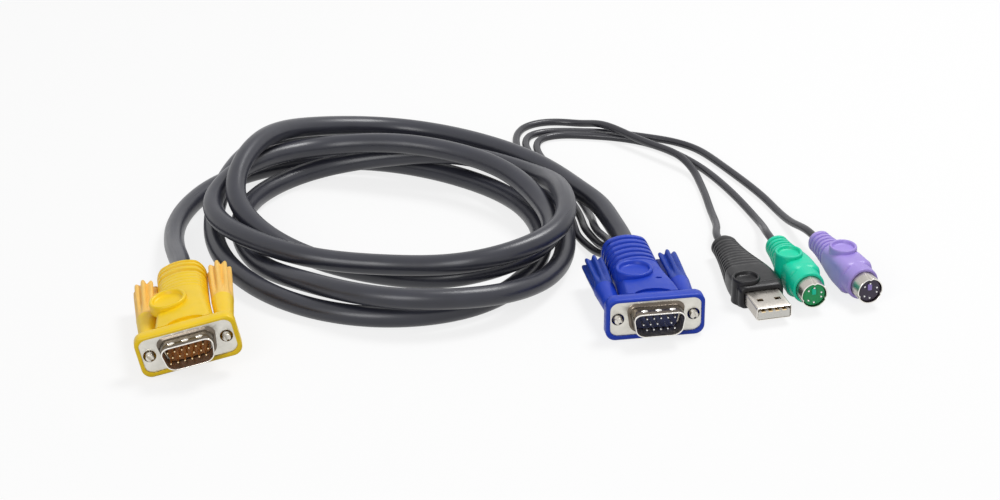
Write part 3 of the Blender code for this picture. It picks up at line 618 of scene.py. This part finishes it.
def settle(piece, plug, finishes, stands_for=(), body="cable", sharp=32):
    """Make the modifiers' result the piece's own mesh and take it to its plug's place. Then give it its
    body, and the CAD nodes it stands for."""
    tools = [m.object for m in piece.modifiers if m.type == "BOOLEAN"]
    for part in (piece, *tools):
        for finish in finishes:
            part.data.materials.append(finish)
    bpy.context.view_layer.update()
    shaped = piece.evaluated_get(bpy.context.evaluated_depsgraph_get())
    mesh = bpy.data.meshes.new_from_object(shaped)
    piece.modifiers.clear()
    piece.data = mesh
    for tool in tools:
        bpy.data.objects.remove(tool)
    mesh.transform(seats[plug])
    mesh.shade_smooth()
    mesh.set_sharp_from_angle(angle=math.radians(sharp))
    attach(piece, body)
    if stands_for:
        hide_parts(*stands_for)
    plug_pieces[plug].append(piece)
    print(f"{piece.name}: {len(mesh.polygons)} faces")


print("plugs:", list(plug_pieces))

# %% [markdown]
# ## Thumb rests
# Every moulding has an oval rest on its top, where a thumb pushes: a narrow raised rim with a hollow in
# it. Its section is a short chain of points from the middle of the hollow over the rim and down the
# outside, spun round an upright axis and scaled to an oval. It is welded onto the moulding, which is
# hollowed first, or its own top would fill the rest.

# %% Thumb rest


def spun(name, place, width, length, section):
    """An oval solid: a section of (radius, height), radius from 0 to 1, spun and scaled to its place."""
    bm = bmesh.new()
    chain = [bm.verts.new((r, 0.0, z)) for r, z in section]
    edges = [bm.edges.new(pair) for pair in zip(chain, chain[1:])]
    bmesh.ops.spin(bm, geom=chain + edges, axis=(0, 0, 1), angle=2 * math.pi, steps=64, use_merge=True)
    oval = Matrix.Translation(place) @ Matrix.Diagonal((width / 2, length / 2, 1.0, 1.0))
    bmesh.ops.transform(bm, matrix=oval, verts=bm.verts)
    return solid(bm, name)


def thumb_rest(moulding, rim, width, length, depth, hollow):
    """Weld an oval rest onto a moulding, with the middle of its rim given and its foot depth below it."""
    room = [(0.0, -hollow - 0.4), (0.72, -hollow - 0.4), (0.9, -0.4), (0.9, 2.0), (0.0, 2.0)]
    carve(moulding, spun("room", rim, width, length, room))
    bowl = [(0.0, -hollow), (0.3, 0.02 - hollow), (0.55, 0.08 - hollow), (0.68, 0.18 - hollow),
            (0.74, 0.32 - hollow), (0.775, 0.6 - hollow), (0.8, -0.4), (0.83, -0.14), (0.87, -0.02),
            (0.91, 0.0), (0.95, -0.05), (0.98, -0.2), (1.0, -0.45), (1.005, -1.0), (1.02, -depth),
            (0.0, -depth)]
    carve(moulding, spun("rest", rim, width, length, bowl), "UNION")


print("thumb rest ready")

# %% [markdown]
# ## Hood of a video plug
# The hood is one moulding: a flange round the metal plate, a body between the two knobs, and a grooved
# strain relief. It starts at the flange's full outline and goes both ways from there. Forwards it rounds
# over the edge to a thin lip that holds the plate, and behind the lip it opens again into the plate's
# pocket. Backwards it steps in to the body, which is boxy at the flange and almost oval at the tail, so
# the outline gets rounder at each station.

# %% Sizes of the video plugs
PLATE_W = 30.6
PLATE_H = 12.3
PLATE_T = 0.8
LIP = (30.2, 12.0)
LIP_T = 0.22
FLANGE = (32.8, 14.7)
FLANGE_DROP = 0.3
FLANGE_EDGE = 0.8
FLANGE_T = 4.6
BODY_ROOT = (19.5, 13.9)
SCREW_X = 12.5
GAP = 0.3
CABLE_PLAY = 0.3
CORD_PLAY = 0.2
BORE_L = 10.0


def body_size(y, inset=0.0):
    """Width, height and ovalness of the hood's body at y, drawn in by an inset on every side."""
    t = (y - FLANGE_T) / 25.0
    width = ease(19.2, 16.6, t)
    height = ease(13.6, 13.1, t) - 0.5 * max(0.0, (y - 30.0) / 19.0)
    return width - 2 * inset, height - 2 * inset, ease(0.12, 0.8, (y - FLANGE_T) / 30.0)


print("body at the flange", body_size(FLANGE_T), "and at the tail", body_size(HOOD_L))

# %% [markdown]
# The flange stands a little lower than the body, so its outline starts low and the end faces are lifted
# again on both sides of it. The bore and the screws' holes are cut last. The scoop is a crescent that
# the mould leaves in the hood's top, just behind the flange.

# %% Hood


def video_hood(name, grooves, exit_x):
    """Flange, body and strain relief, with grooves from front to back."""
    bm = bmesh.new()
    lift = (0.0, 0.0, FLANGE_DROP)
    front = push(bm, outline(bm, *FLANGE, 3.2, FLANGE_EDGE, z=-FLANGE_DROP, cuts=7), 0.0)
    back = other_end(bm, front)
    pocket = (PLATE_W + 2 * GAP, PLATE_H + 2 * GAP)
    edge = smaller(FLANGE, [(0.35, 0.3), (0.1, 0.9), (0.0, 1.6)])
    front = run_through(bm, front, edge + [(0.0, *LIP)])
    bmesh.ops.translate(bm, verts=list(front.verts), vec=lift)
    run_through(bm, front, [(LIP_T, *LIP), (LIP_T, *pocket), (2 * GAP + PLATE_T, *pocket)])
    edge = smaller(FLANGE, [(FLANGE_T - 0.8, 0.0), (FLANGE_T - 0.3, 0.35), (FLANGE_T, 1.3)])
    back = run_through(bm, back, edge + [(FLANGE_T, *BODY_ROOT)])
    bmesh.ops.translate(bm, verts=list(back.verts), vec=lift)
    stations = [(FLANGE_T + 0.4, *body_size(FLANGE_T))]
    stations += grooved(body_size, np.linspace(FLANGE_T + 1.5, grooves[0][0] - 0.5, 12), grooves,
                        HOOD_L, 1.1, HOOD_L - 1.1, [(0.6, 0.15), (0.2, 0.5), (0.0, 1.1)])
    run_through(bm, back, stations)
    hood = solid(bm, name)
    soften(hood, 0.16, 42)
    carve(hood, rod("bore", CABLE_D + CABLE_PLAY, BORE_L, (exit_x, HOOD_L, 0.0)))
    for side in (-1, 1):
        carve(hood, rod(f"screw_way_{side}", 4.5, 2 * FLANGE_T, (side * SCREW_X, FLANGE_T / 2 + 0.5, 0.0)))
    return hood


def top_scoop(x):
    """A crescent tool for the shallow scoop in the hood's top."""
    bm = bmesh.new()
    bmesh.ops.create_cone(bm, cap_ends=True, segments=48, radius1=1.0, radius2=1.0, depth=3.0)
    place = Matrix.Translation((x, FLANGE_T, 7.4)) @ Matrix.Diagonal((6.0, 2.7, 1.0, 1.0))
    bmesh.ops.transform(bm, matrix=place, verts=bm.verts)
    bmesh.ops.bisect_plane(bm, geom=[*bm.verts, *bm.edges, *bm.faces], plane_co=(0.0, FLANGE_T - 0.5, 0.0),
                           plane_no=(0.0, -1.0, 0.0), clear_outer=True)
    bmesh.ops.holes_fill(bm, edges=[e for e in bm.edges if e.is_boundary])
    return solid(bm, "scoop")


print("hood ready")

# %% [markdown]
# The yellow hood has three deep grooves at its tail and five hair-thin steps in front of them. The blue
# hood has five deep grooves and one thin step. Its back also takes the slot where the three thin cords
# come out. On top of each hood is the small mark left by the mould's gate.

# %% Two hoods
yellow_grooves = [(29.4 + 2.1 * i, 0.6, 0.08) for i in range(5)]
yellow_grooves += [(39.9, 2.0, 1.6), (43.6, 1.6, 1.4), (46.4, 1.1, 1.0)]
hood = video_hood("yellow_video_hood", yellow_grooves, 0.0)
carve(hood, top_scoop(1.0))
carve(hood, rod("gate_mark", 0.9, 1.0, (-0.9, 28.1, 6.6), True, 20))
thumb_rest(hood, (-3.9, 20.9, 8.0), 12.4, 12.0, 3.7, 1.5)
settle(hood, "yellow", [yellow_pvc], ["yellow_hood"])

blue_grooves = [(28.9, 0.8, 0.18)] + [(31.2 + 3.4 * i, 1.6, 1.25) for i in range(5)]
hood = video_hood("blue_video_hood", blue_grooves, CABLE_EXIT_X)
slot_w = CORD_D + 0.3
slot_h = slot_w + 2 * CORD_EXIT_PITCH
carve(hood, bar("cord_slot", BORE_L, slot_w, slot_h, 1.45, HOOD_L - BORE_L / 2, CORD_EXIT_X))
carve(hood, rod("gate_mark", 1.3, 2.4, (4.1, 14.9, 7.0), True, 24, 1.7))
carve(hood, top_scoop(0.0))
thumb_rest(hood, (-2.8, 20.9, 7.9), 12.4, 11.8, 3.6, 1.5)
settle(hood, "blue", [blue_pvc], ["blue_hood"])

# %% [markdown]
# ## Plate and collar
# The front of a video plug is one sheet of plated steel: a flat plate with two holes, and a D-shaped
# collar drawn out of it. Where the collar leaves the plate the metal flares, and three dimples are
# pressed into its wide side, which grip the socket. The D is the same bevelled cell, with its lower
# corners drawn in. The collar's outside is painted dark, as painted shade and reflection. Its front edge
# and dimples are painted bright, as a painted highlight. Its inside is a warm grey in between, as painted
# shade and reflection.

# %% Plate and collar
COLLAR_W = 16.9
COLLAR_H = 8.4
COLLAR_L = 5.9
COLLAR_LEAN = 1.45
# index of the painted highlight finish
PAINTED_HIGHLIGHT = 1
# index of the painted shade and reflection finish inside the collar
PAINTED_REFLECTION = 2


def plate(name):
    """The flat plate, with its holes."""
    sheet = bar(name, -PLATE_T, PLATE_W, PLATE_H, 1.9, GAP + PLATE_T)
    carve(sheet, bar("collar_way", 4.0, COLLAR_W - 0.6, COLLAR_H - 0.6, 2.1, -1.0, lean=COLLAR_LEAN))
    for side in (-1, 1):
        carve(sheet, rod(f"screw_way_{side}", 4.2, 4.0, (side * SCREW_X, 0.0, 0.0)))
    soften(sheet, 0.12)
    return sheet


def collar(name):
    """The drawn D, flared at the plate, with a rounded front edge: painted shade outside, a painted
    highlight on the front edge and the dimples, and painted shade and reflection inside.
    """
    bm = bmesh.new()
    root = GAP + 0.5
    tip = -COLLAR_L
    face = outline(bm, COLLAR_W + 2.0, COLLAR_H + 2.0, 3.1, root, lean=COLLAR_LEAN)
    steps = [(GAP, -2.0), (GAP - 0.2, -1.6), (GAP - 0.28, -1.1), (GAP - 0.45, -0.6), (GAP - 0.8, -0.2),
             (GAP - 1.3, 0.0), (-2.4, 0.0), (tip + 0.22, 0.0), (tip + 0.05, 0.1), (tip, 0.3), (tip, 0.5),
             (tip + 0.06, 0.7), (tip + 0.25, 0.8), (GAP + 0.45, 0.8)]
    run_through(bm, face, smaller((COLLAR_W, COLLAR_H), steps))
    # front edge: painted highlight; inside wall: painted shade and reflection
    for f in bm.faces:
        ys = [v.co.y for v in f.verts]
        if max(ys) < tip + 0.26:
            f.material_index = PAINTED_HIGHLIGHT
        elif min(ys) > tip + 0.24 and max(ys) > GAP + 0.4 and min(ys) < 0.0:
            f.material_index = PAINTED_REFLECTION
    drawn = solid(bm, name)
    for x in (-4.6, 0.0, 4.6):
        bead = bmesh.new()
        bmesh.ops.create_uvsphere(bead, u_segments=24, v_segments=12, radius=0.5)
        dent = Matrix.Translation((x, -3.4, COLLAR_H / 2 + 0.14)) @ Matrix.Diagonal((2.4, 1.7, 0.9, 1.0))
        bmesh.ops.transform(bead, matrix=dent, verts=bead.verts)
        # the dimples take the painted highlight finish
        for f in bead.faces:
            f.material_index = PAINTED_HIGHLIGHT
        carve(drawn, solid(bead, f"dimple_{x}"))
    return drawn


for colour in ("yellow", "blue"):
    settle(plate(f"{colour}_plate"), colour, [plate_nickel], [f"{colour}_shell"])
    settle(collar(f"{colour}_collar"), colour, [painted_shade_collar_nickel, painted_highlight_nickel, painted_reflection_nickel])

# %% [markdown]
# ## Pins
# The pins are turned brass rods with rounded tips, in three rows. Each starts as a small disc and is
# pushed forwards to its tip. The yellow plug has six in each row, gold plated. The blue one has five in
# each staggered row, with one place left empty. The insulator behind them is the CAD model's own solid,
# whose shape is right as it is, so it only gets a finish.

# %% Pins and insulators
PIN_PITCH = 2.29
ROW_PITCH = 1.98
PIN = [(-0.3, 0.76), (-4.45, 0.76), (-4.75, 0.66), (-4.93, 0.44), (-5.0, 0.16)]


def pin_places(rows):
    """Where a plug's pins stand; a row is (places, shift, empty place)."""
    return [((i - (places - 1) / 2 + shift) * PIN_PITCH, (1 - row) * ROW_PITCH)
            for row, (places, shift, empty) in enumerate(rows) for i in range(places) if i != empty]


pin_rows = {"yellow": [(6, -0.25, None), (6, 0.25, None), (6, -0.25, None)],
            "blue": [(5, 0.25, None), (5, -0.25, 3), (5, 0.25, None)]}
for colour, finish, slot_name, resin in (("yellow", pin_gold, "gold", brown_resin),
                                         ("blue", pin_nickel, "nickel", dark_resin)):
    plain = [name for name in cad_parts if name.startswith(f"{colour}_pin_")]
    pins = solid(turned(pin_places(pin_rows[colour]), PIN, 14), f"{colour}_pins")
    settle(pins, colour, [finish], plain)
    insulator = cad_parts[f"{colour}_insulator"]
    insulator.data.materials.clear()
    insulator.data.materials.append(resin)

# %% [markdown]
# ## Thumbscrews
# A knob turns the steel screw that holds the plug to its socket. Near the flange it is a plain shaft, and
# towards the cable it swells to a grip with deep flutes whose ends stand like petals. The flutes are a
# wave round the circle: each new ring is pushed out, then its points are moved by the wave. A row of the
# shaft is (share of the length, diameter), and a tip (distance to the end, diameter, depth of the flutes,
# crown). The yellow grip is thin and lets a little light through, so it has a paler finish.

# %% Knobs and screws
FLUTES = 8
KNOB_ROOT = FLANGE_T + 0.25
SHAFT = 1
SHAFT_SHARE = 0.447
SHAFT_ROWS = [(0.008, 5.3), (0.02, 5.4), (0.15, 5.85), (0.3, 6.55), (0.4, 7.0), (0.44, 7.15), (0.455, 7.3)]
KNOB_TIPS = [(0.9, 8.15, 1.25, 0.5), (0.4, 7.9, 1.25, 0.95), (0.1, 7.4, 1.15, 1.15), (0.0, 6.7, 0.95, 1.2),
             (0.25, 6.1, 0.75, 1.0), (0.9, 5.6, 0.5, 0.5), (2.2, 4.8, 0.0, 0.0)]
SCREW_TIP = -1.2
SHANK = [(9.4, 2.8), (1.2, 2.8), (0.95, 2.4), (0.7, 2.8), (0.45, 2.4), (0.2, 2.8), (-0.05, 2.45),
         (-0.3, 2.8), (-0.75, 2.75), (-1.0, 2.5), (-1.13, 2.0), (SCREW_TIP, 1.2)]


def flute(face, axis_x, y, diameter, depth, crown):
    """Shape a ring into flutes at y, and let its edge rise and fall with them by crown."""
    for v in face.verts:
        a = math.atan2(v.co.z, v.co.x - axis_x)
        wave = (1 - math.cos(FLUTES * a)) / 2
        radius = diameter / 2 - depth * wave ** 1.6
        v.co = (axis_x + radius * math.cos(a), y - crown * wave, radius * math.sin(a))


def knob(name, side, length):
    """A fluted knob on the plug's left or right screw."""
    bm = bmesh.new()
    x = side * SCREW_X
    face = disc(bm, 4.8, KNOB_ROOT, x, 0.0, FLUTES * 10)
    rows = [(share, diameter, 0.0) for share, diameter in SHAFT_ROWS]
    for share in np.linspace(0.465, 0.865, 14):
        depth = 1.2 * min(1.0, (share - 0.46) / 0.22) ** 0.8
        rows.append((share, ease(7.35, 8.2, (share - 0.44) / 0.5), depth))
    rows += [(0.9, 8.2, 1.2), (0.95, 8.2, 1.25)]
    rows = [(KNOB_ROOT + share * length, diameter, depth, 0.0) for share, diameter, depth in rows]
    rows += [(KNOB_ROOT + length - back, *tip) for back, *tip in KNOB_TIPS]
    for row in rows:
        face = push(bm, face, 0.0)
        flute(face, x, *row)
    for f in bm.faces:
        if min(v.co.y for v in f.verts) < KNOB_ROOT + SHAFT_SHARE * length:
            f.material_index = SHAFT
    return solid(bm, name)


def screw(name, side, slot_angle):
    """The end of the steel screw, slotted and domed, with its turned shank behind it."""
    x = side * SCREW_X
    shank = solid(turned([(x, 0.0)], SHANK, 32), name)
    slot = bmesh.new()
    bmesh.ops.create_cube(slot, size=1.0)
    place = Matrix.Translation((x, SCREW_TIP, 0.0)) @ Matrix.Rotation(math.radians(slot_angle), 4, "Y")
    bmesh.ops.transform(slot, matrix=place @ Matrix.Diagonal((4.0, 2.8, 0.85, 1.0)), verts=slot.verts)
    carve(shank, solid(slot, "slot"))
    return shank


for colour, length, finishes, slot_name in (("yellow", 41.7, [yellow_grip, yellow_shaft], "yellow_knob"),
                                            ("blue", 35.2, [blue_grip, blue_pvc], "blue_pvc")):
    for side, word, angle in ((-1, "left", 60.0), (1, "right", 75.0)):
        body = f"{colour}_thumbscrew_{word}"
        settle(knob(f"{colour}_grip_{word}", side, length), colour, finishes,
               [f"{colour}_knob_{word}"], body, 50)
        settle(screw(f"{colour}_screw_end_{word}", side, angle), colour, [screw_steel],
               [f"{colour}_screw_{word}"], body)

# %% [markdown]
# ## USB plug
# The black moulding is blunt in front and tapers to the cord like a fish. Its ribs show only at the
# sides, because each groove draws in the outline's width and hardly its height. The thumb rest stands
# on an oval pillar at the front left corner, which bulges out of the moulding's side.

# %% USB moulding
USB_W = 16.0
USB_H = 9.0
USB_END = 40.0
USB_START = 2.6


def usb_size(y, inset=0.0):
    """Width, height and ovalness of the USB moulding; its grooves cut mostly its sides."""
    t = (y - 9.0) / 31.0
    width = ease(USB_W, 9.2, t) - 2 * inset
    height = ease(USB_H, 7.2, t) - 0.15 * inset
    return width, height, ease(0.0, 0.85, (y - 6.0) / 28.0)


def usb_moulding(name):
    """The black moulding, with the mouth that its shell sits in."""
    bm = bmesh.new()
    front = push(bm, outline(bm, USB_W, USB_H, 2.2, USB_START, cuts=5), 0.0)
    back = other_end(bm, front)
    steps = [(2.3, 0.5), (1.2, 0.7, 0.8), (0.5, 1.0, 1.1), (0.12, 1.6, 1.7), (0.0, 2.4, 2.5)]
    run_through(bm, front, smaller((USB_W, USB_H), steps))
    ribs = [(15.9 + 2.05 * i, 0.95, 0.5) for i in range(11)]
    run_through(bm, back, grooved(usb_size, np.linspace(3.5, 15.0, 9), ribs,
                                  USB_END, 1.2, USB_END, [(0.5, 0.5), (0.1, 1.1), (0.0, 1.8)]))
    moulding = solid(bm, name)
    soften(moulding, 0.14)
    carve(moulding, rod("bore", CORD_D + CORD_PLAY, BORE_L, (0.0, USB_END, 0.0)))
    carve(moulding, bar("mouth", 3.0, 12.4, 4.9, 0.8, -1.0))
    return moulding


moulding = usb_moulding("black_usb_moulding")
thumb_rest(moulding, (-3.9, 5.3, 5.5), 9.4, 8.8, 9.0, 1.5)
settle(moulding, "usb", [black_pvc], ["usb_overmould"])

# %% [markdown]
# The USB shell is a bent sheet of plated steel with two windows on each face, for the socket's springs.
# Inside it a cream tongue fills the lower two thirds, with four gilt contacts on top.

# %% USB shell, tongue and contacts
USB_SHELL = (12.0, 4.5)
TONGUE = (11.0, 2.7)
CONTACT_PITCH = 2.4


def usb_shell(name):
    """The metal shell, a tube with a rounded rim that carries a painted highlight, and its windows."""
    bm = bmesh.new()
    face = outline(bm, *USB_SHELL, 0.7, 1.8)
    steps = [(-11.9, 0.0), (-12.0, 0.1), (-12.0, 0.45), (-11.9, 0.55), (1.4, 0.55)]
    run_through(bm, face, smaller(USB_SHELL, steps))
    # the shell's front edge takes the painted highlight finish
    for f in bm.faces:
        if max(v.co.y for v in f.verts) < -11.8:
            f.material_index = PAINTED_HIGHLIGHT
    shell = solid(bm, name)
    for side in (-1, 1):
        carve(shell, bar(f"window_{side}", 1.7, 2.1, 20.0, 0.3, -7.2, side * 3.0, steps=3))
    return shell


def usb_tongue(name):
    """The resin tongue, with a small step at its front edge."""
    bm = bmesh.new()
    face = outline(bm, *TONGUE, 0.25, 1.0, 0.0, -0.6, 3)
    run_through(bm, face, smaller(TONGUE, [(-11.7, 0.0), (-11.85, 0.2)]))
    return solid(bm, name)


def usb_contacts(name):
    """Four flat contacts, lying on the tongue."""
    bm = bmesh.new()
    for i in range(4):
        face = outline(bm, 1.3, 0.4, 0.09, -11.9, (i - 1.5) * CONTACT_PITCH, 0.72, 2)
        run_through(bm, face, [(-11.7, 1.3, 0.5), (-3.5, 1.3, 0.5)])
    return solid(bm, name)


settle(usb_shell("usb_plated_shell"), "usb", [shell_nickel, painted_highlight_nickel], ["usb_shell"])
settle(usb_tongue("usb_cream_tongue"), "usb", [cream_resin], ["usb_tongue"])
settle(usb_contacts("usb_gilt_contacts"), "usb", [pin_gold])

# %% [markdown]
# ## Mini-DIN plugs
# The two round plugs are nearly the same moulding in green and in purple: a turned nose in front, welded
# to a soft box with a thumb rest and a grooved tail.

# %% Mini-DIN moulding
DIN_W = 11.6
DIN_H = 11.5
DIN_START = 0.6
NOSE = [(6.0, 9.6), (4.0, 10.8), (2.0, 11.3), (-2.9, 11.2), (-3.4, 10.9), (-3.6, 10.4)]


def din_size(y, inset=0.0):
    """Width, height and ovalness of a round plug's body."""
    t = (y - 8.0) / 23.0
    return ease(DIN_W, 7.9, t) - 2 * inset, ease(DIN_H, 7.7, t) - 2 * inset, ease(0.1, 0.8, (y - 4.0) / 22.0)


def din_moulding(name, end):
    """Body and nose of a round plug."""
    bm = bmesh.new()
    face = outline(bm, DIN_W - 2.4, DIN_H - 2.4, 2.6, DIN_START, cuts=4)
    stations = smaller((DIN_W, DIN_H), [(0.9, 1.4), (1.6, 0.5), (2.6, 0.0)])
    ribs = [(end - 12.9 + 2.4 * i, 1.05, 0.65) for i in range(5)]
    stations += grooved(din_size, np.linspace(4.0, end - 13.6, 10), ribs, end, 0.9, end,
                        [(0.4, 0.3), (0.1, 0.7), (0.0, 1.2)])
    run_through(bm, face, stations)
    moulding = solid(bm, name)
    soften(moulding, 0.16)
    nose = turned([(0.0, 0.0)], NOSE)
    carve(moulding, solid(nose, "nose"), "UNION")
    carve(moulding, rod("mouth", 9.3, 6.0, (0.0, -1.0, 0.0), segments=64))
    carve(moulding, rod("bore", CORD_D + CORD_PLAY, BORE_L, (0.0, end, 0.0)))
    return moulding


for colour, pvc, end, x, y, depth in (("green", green_pvc, 30.0, -2.2, 11.2, 9.5),
                                      ("purple", purple_pvc, 31.5, 0.0, 12.4, 3.0)):
    moulding = din_moulding(f"{colour}_round_moulding", end)
    thumb_rest(moulding, (x, y, 7.0), 9.2, 9.6, depth, 1.4)
    settle(moulding, colour, [pvc], [f"{colour}_overmould"])

# %% [markdown]
# The metal shell is a thin tube with three keying grooves pressed into it. Inside sits the resin core
# with six contacts and a square key, a little way back from the mouth.

# %% Mini-DIN shell and core
DIN_TUBE = [(1.8, 9.0), (-3.8, 9.0), (-4.6, 9.0), (-8.9, 9.0), (-9.0, 8.85), (-9.0, 8.45), (-8.9, 8.3),
            (-4.2, 8.3), (1.4, 8.3)]
DIN_KEYS = ((90.0, 10.0), (-20.0, 8.0), (-160.0, 8.0))
KEY_DEPTH = 0.4
DIN_KEY = (1.3, 2.0)
CORE_TOP = -7.5
CONTACT = [(CORE_TOP, 0.8), (-8.4, 0.8), (-8.65, 0.6), (-8.75, 0.25)]


def din_shell(name):
    """The round shell; each keying groove is an angle and half its width in degrees."""
    bm = turned([(0.0, 0.0)], DIN_TUBE, 96)
    # the shell's front edge takes the painted highlight finish
    for f in bm.faces:
        if max(v.co.y for v in f.verts) < -8.85:
            f.material_index = PAINTED_HIGHLIGHT
    for v in bm.verts:
        a = math.degrees(math.atan2(v.co.z, v.co.x))
        for key, half in DIN_KEYS:
            off = abs((a - key + 180.0) % 360.0 - 180.0)
            if off < half and v.co.y < -4.1:
                dip = KEY_DEPTH * (1 + math.cos(math.pi * off / half)) / 2
                radius = math.hypot(v.co.x, v.co.z)
                v.co.x *= (radius - dip) / radius
                v.co.z *= (radius - dip) / radius
    return solid(bm, name)


def din_core(name):
    """The resin core and its key, which has the moulding's own colour."""
    bm = turned([(0.0, 0.0)], [(1.1, 7.9), (-7.9, 7.9), (-8.0, 7.6)])
    core_faces = len(bm.faces)
    key = outline(bm, *DIN_KEY, 0.15, CORE_TOP, 0.0, 1.2, 3)
    run_through(bm, key, smaller(DIN_KEY, [(-8.6, 0.0), (-8.7, 0.2)]))
    for f in list(bm.faces)[core_faces:]:
        f.material_index = 1
    return solid(bm, name)


def contact_places():
    """Where the six contacts stand, on a circle."""
    angles = [math.radians(-60 + 60 * i + (12 if i < 3 else -12) * (i % 3 != 1)) for i in range(6)]
    return [(2.6 * math.sin(a), 2.6 * math.cos(a)) for a in angles]


for colour, resin, key_finish in (("green", green_resin, green_pvc), ("purple", purple_resin, purple_pvc)):
    settle(din_shell(f"{colour}_round_shell"), colour, [shell_nickel, painted_highlight_nickel],
           [f"{colour}_shell"])
    settle(din_core(f"{colour}_core"), colour, [resin, key_finish],
           [f"{colour}_contacts"])
    pins = solid(turned(contact_places(), CONTACT, 12), f"{colour}_round_pins")
    settle(pins, colour, [pin_nickel])

# %% [markdown]
# ## Floor and light
# The plain white table must keep the object's soft shadow, yet look as white as the photograph's ground.
# So what the camera and the metals see of it is partly its own light. As a light on the object it is
# much darker, or it would wash out the undersides.

# %% Floor
YES_OR_NO = (0.0, 1.0)
floor_bm = bmesh.new()
bmesh.ops.create_grid(floor_bm, x_segments=1, y_segments=1, size=2.0)
floor = solid(floor_bm, "floor")


def seen_directly(tree):
    """1 for what the camera, a mirror or glass sees, 0 for light on its way to a surface."""
    path = new_node(tree, "ShaderNodeLightPath")
    seen = path.outputs["Is Camera Ray"]
    for ray in ("Is Glossy Ray", "Is Transmission Ray"):
        either = new_node(tree, "ShaderNodeMath")
        either.operation = "MAXIMUM"
        tree.links.new(seen, either.inputs[0])
        tree.links.new(path.outputs[ray], either.inputs[1])
        seen = either.outputs["Value"]
    return seen


table_white, tree, shader = new_finish("table_white", Roughness=0.9, Specular_IOR_Level=0.1)
seen = seen_directly(tree)
set_inputs(tree, shader, Base_Color=between(tree, seen, 0.4, 0.93, YES_OR_NO))
glow = new_node(tree, "ShaderNodeEmission", Strength=1.0)
blend = new_node(tree, "ShaderNodeMixShader", Fac=between(tree, seen, 0.0, 0.8, YES_OR_NO))
tree.links.new(shader.outputs["BSDF"], blend.inputs[1])
tree.links.new(glow.outputs["Emission"], blend.inputs[2])
set_inputs(tree, tree.nodes["Material Output"], Surface=blend.outputs["Shader"])
floor.data.materials.append(table_white)
print("floor ready")

# %% [markdown]
# The pale world is white where it is seen and a third of that as a light. One large soft lamp stands
# above and behind, to the right, and a larger one fills in from the front left.

# %% World and lamps
world = bpy.data.worlds.new("studio")
bpy.context.scene.world = world
world.use_nodes = True
sky = world.node_tree
set_inputs(sky, sky.nodes["Background"], Color=(1.0, 1.0, 1.0, 1.0),
           Strength=between(sky, seen_directly(sky), 0.34, 1.0, YES_OR_NO))


def soft_lamp(name, place, size, power):
    """A square area lamp that looks at the middle of the object."""
    data = bpy.data.lights.new(name, "AREA")
    data.shape = "SQUARE"
    data.size = size
    data.energy = power
    lamp = add(name, data)
    lamp.location = place
    lamp.rotation_euler = Vector(place).to_track_quat("Z", "Y").to_euler()


soft_lamp("key", (0.32, 0.26, 0.78), 0.30, 4.4)
soft_lamp("fill", (-0.35, -0.8, 0.55), 0.45, 3.3)
bpy.context.scene.view_settings.view_transform = "Standard"

# %% [markdown]
# ## Facts of the cords
# The thick cable has a bundle of shielded wires in it and is fairly stiff. The thin ones have a few fine
# wires and are limp. The length of each cord is printed, in millimetres.

print("declared:", {name: round(length / MM) for name, (cord, leaves, length) in cords.items()}, "mm")
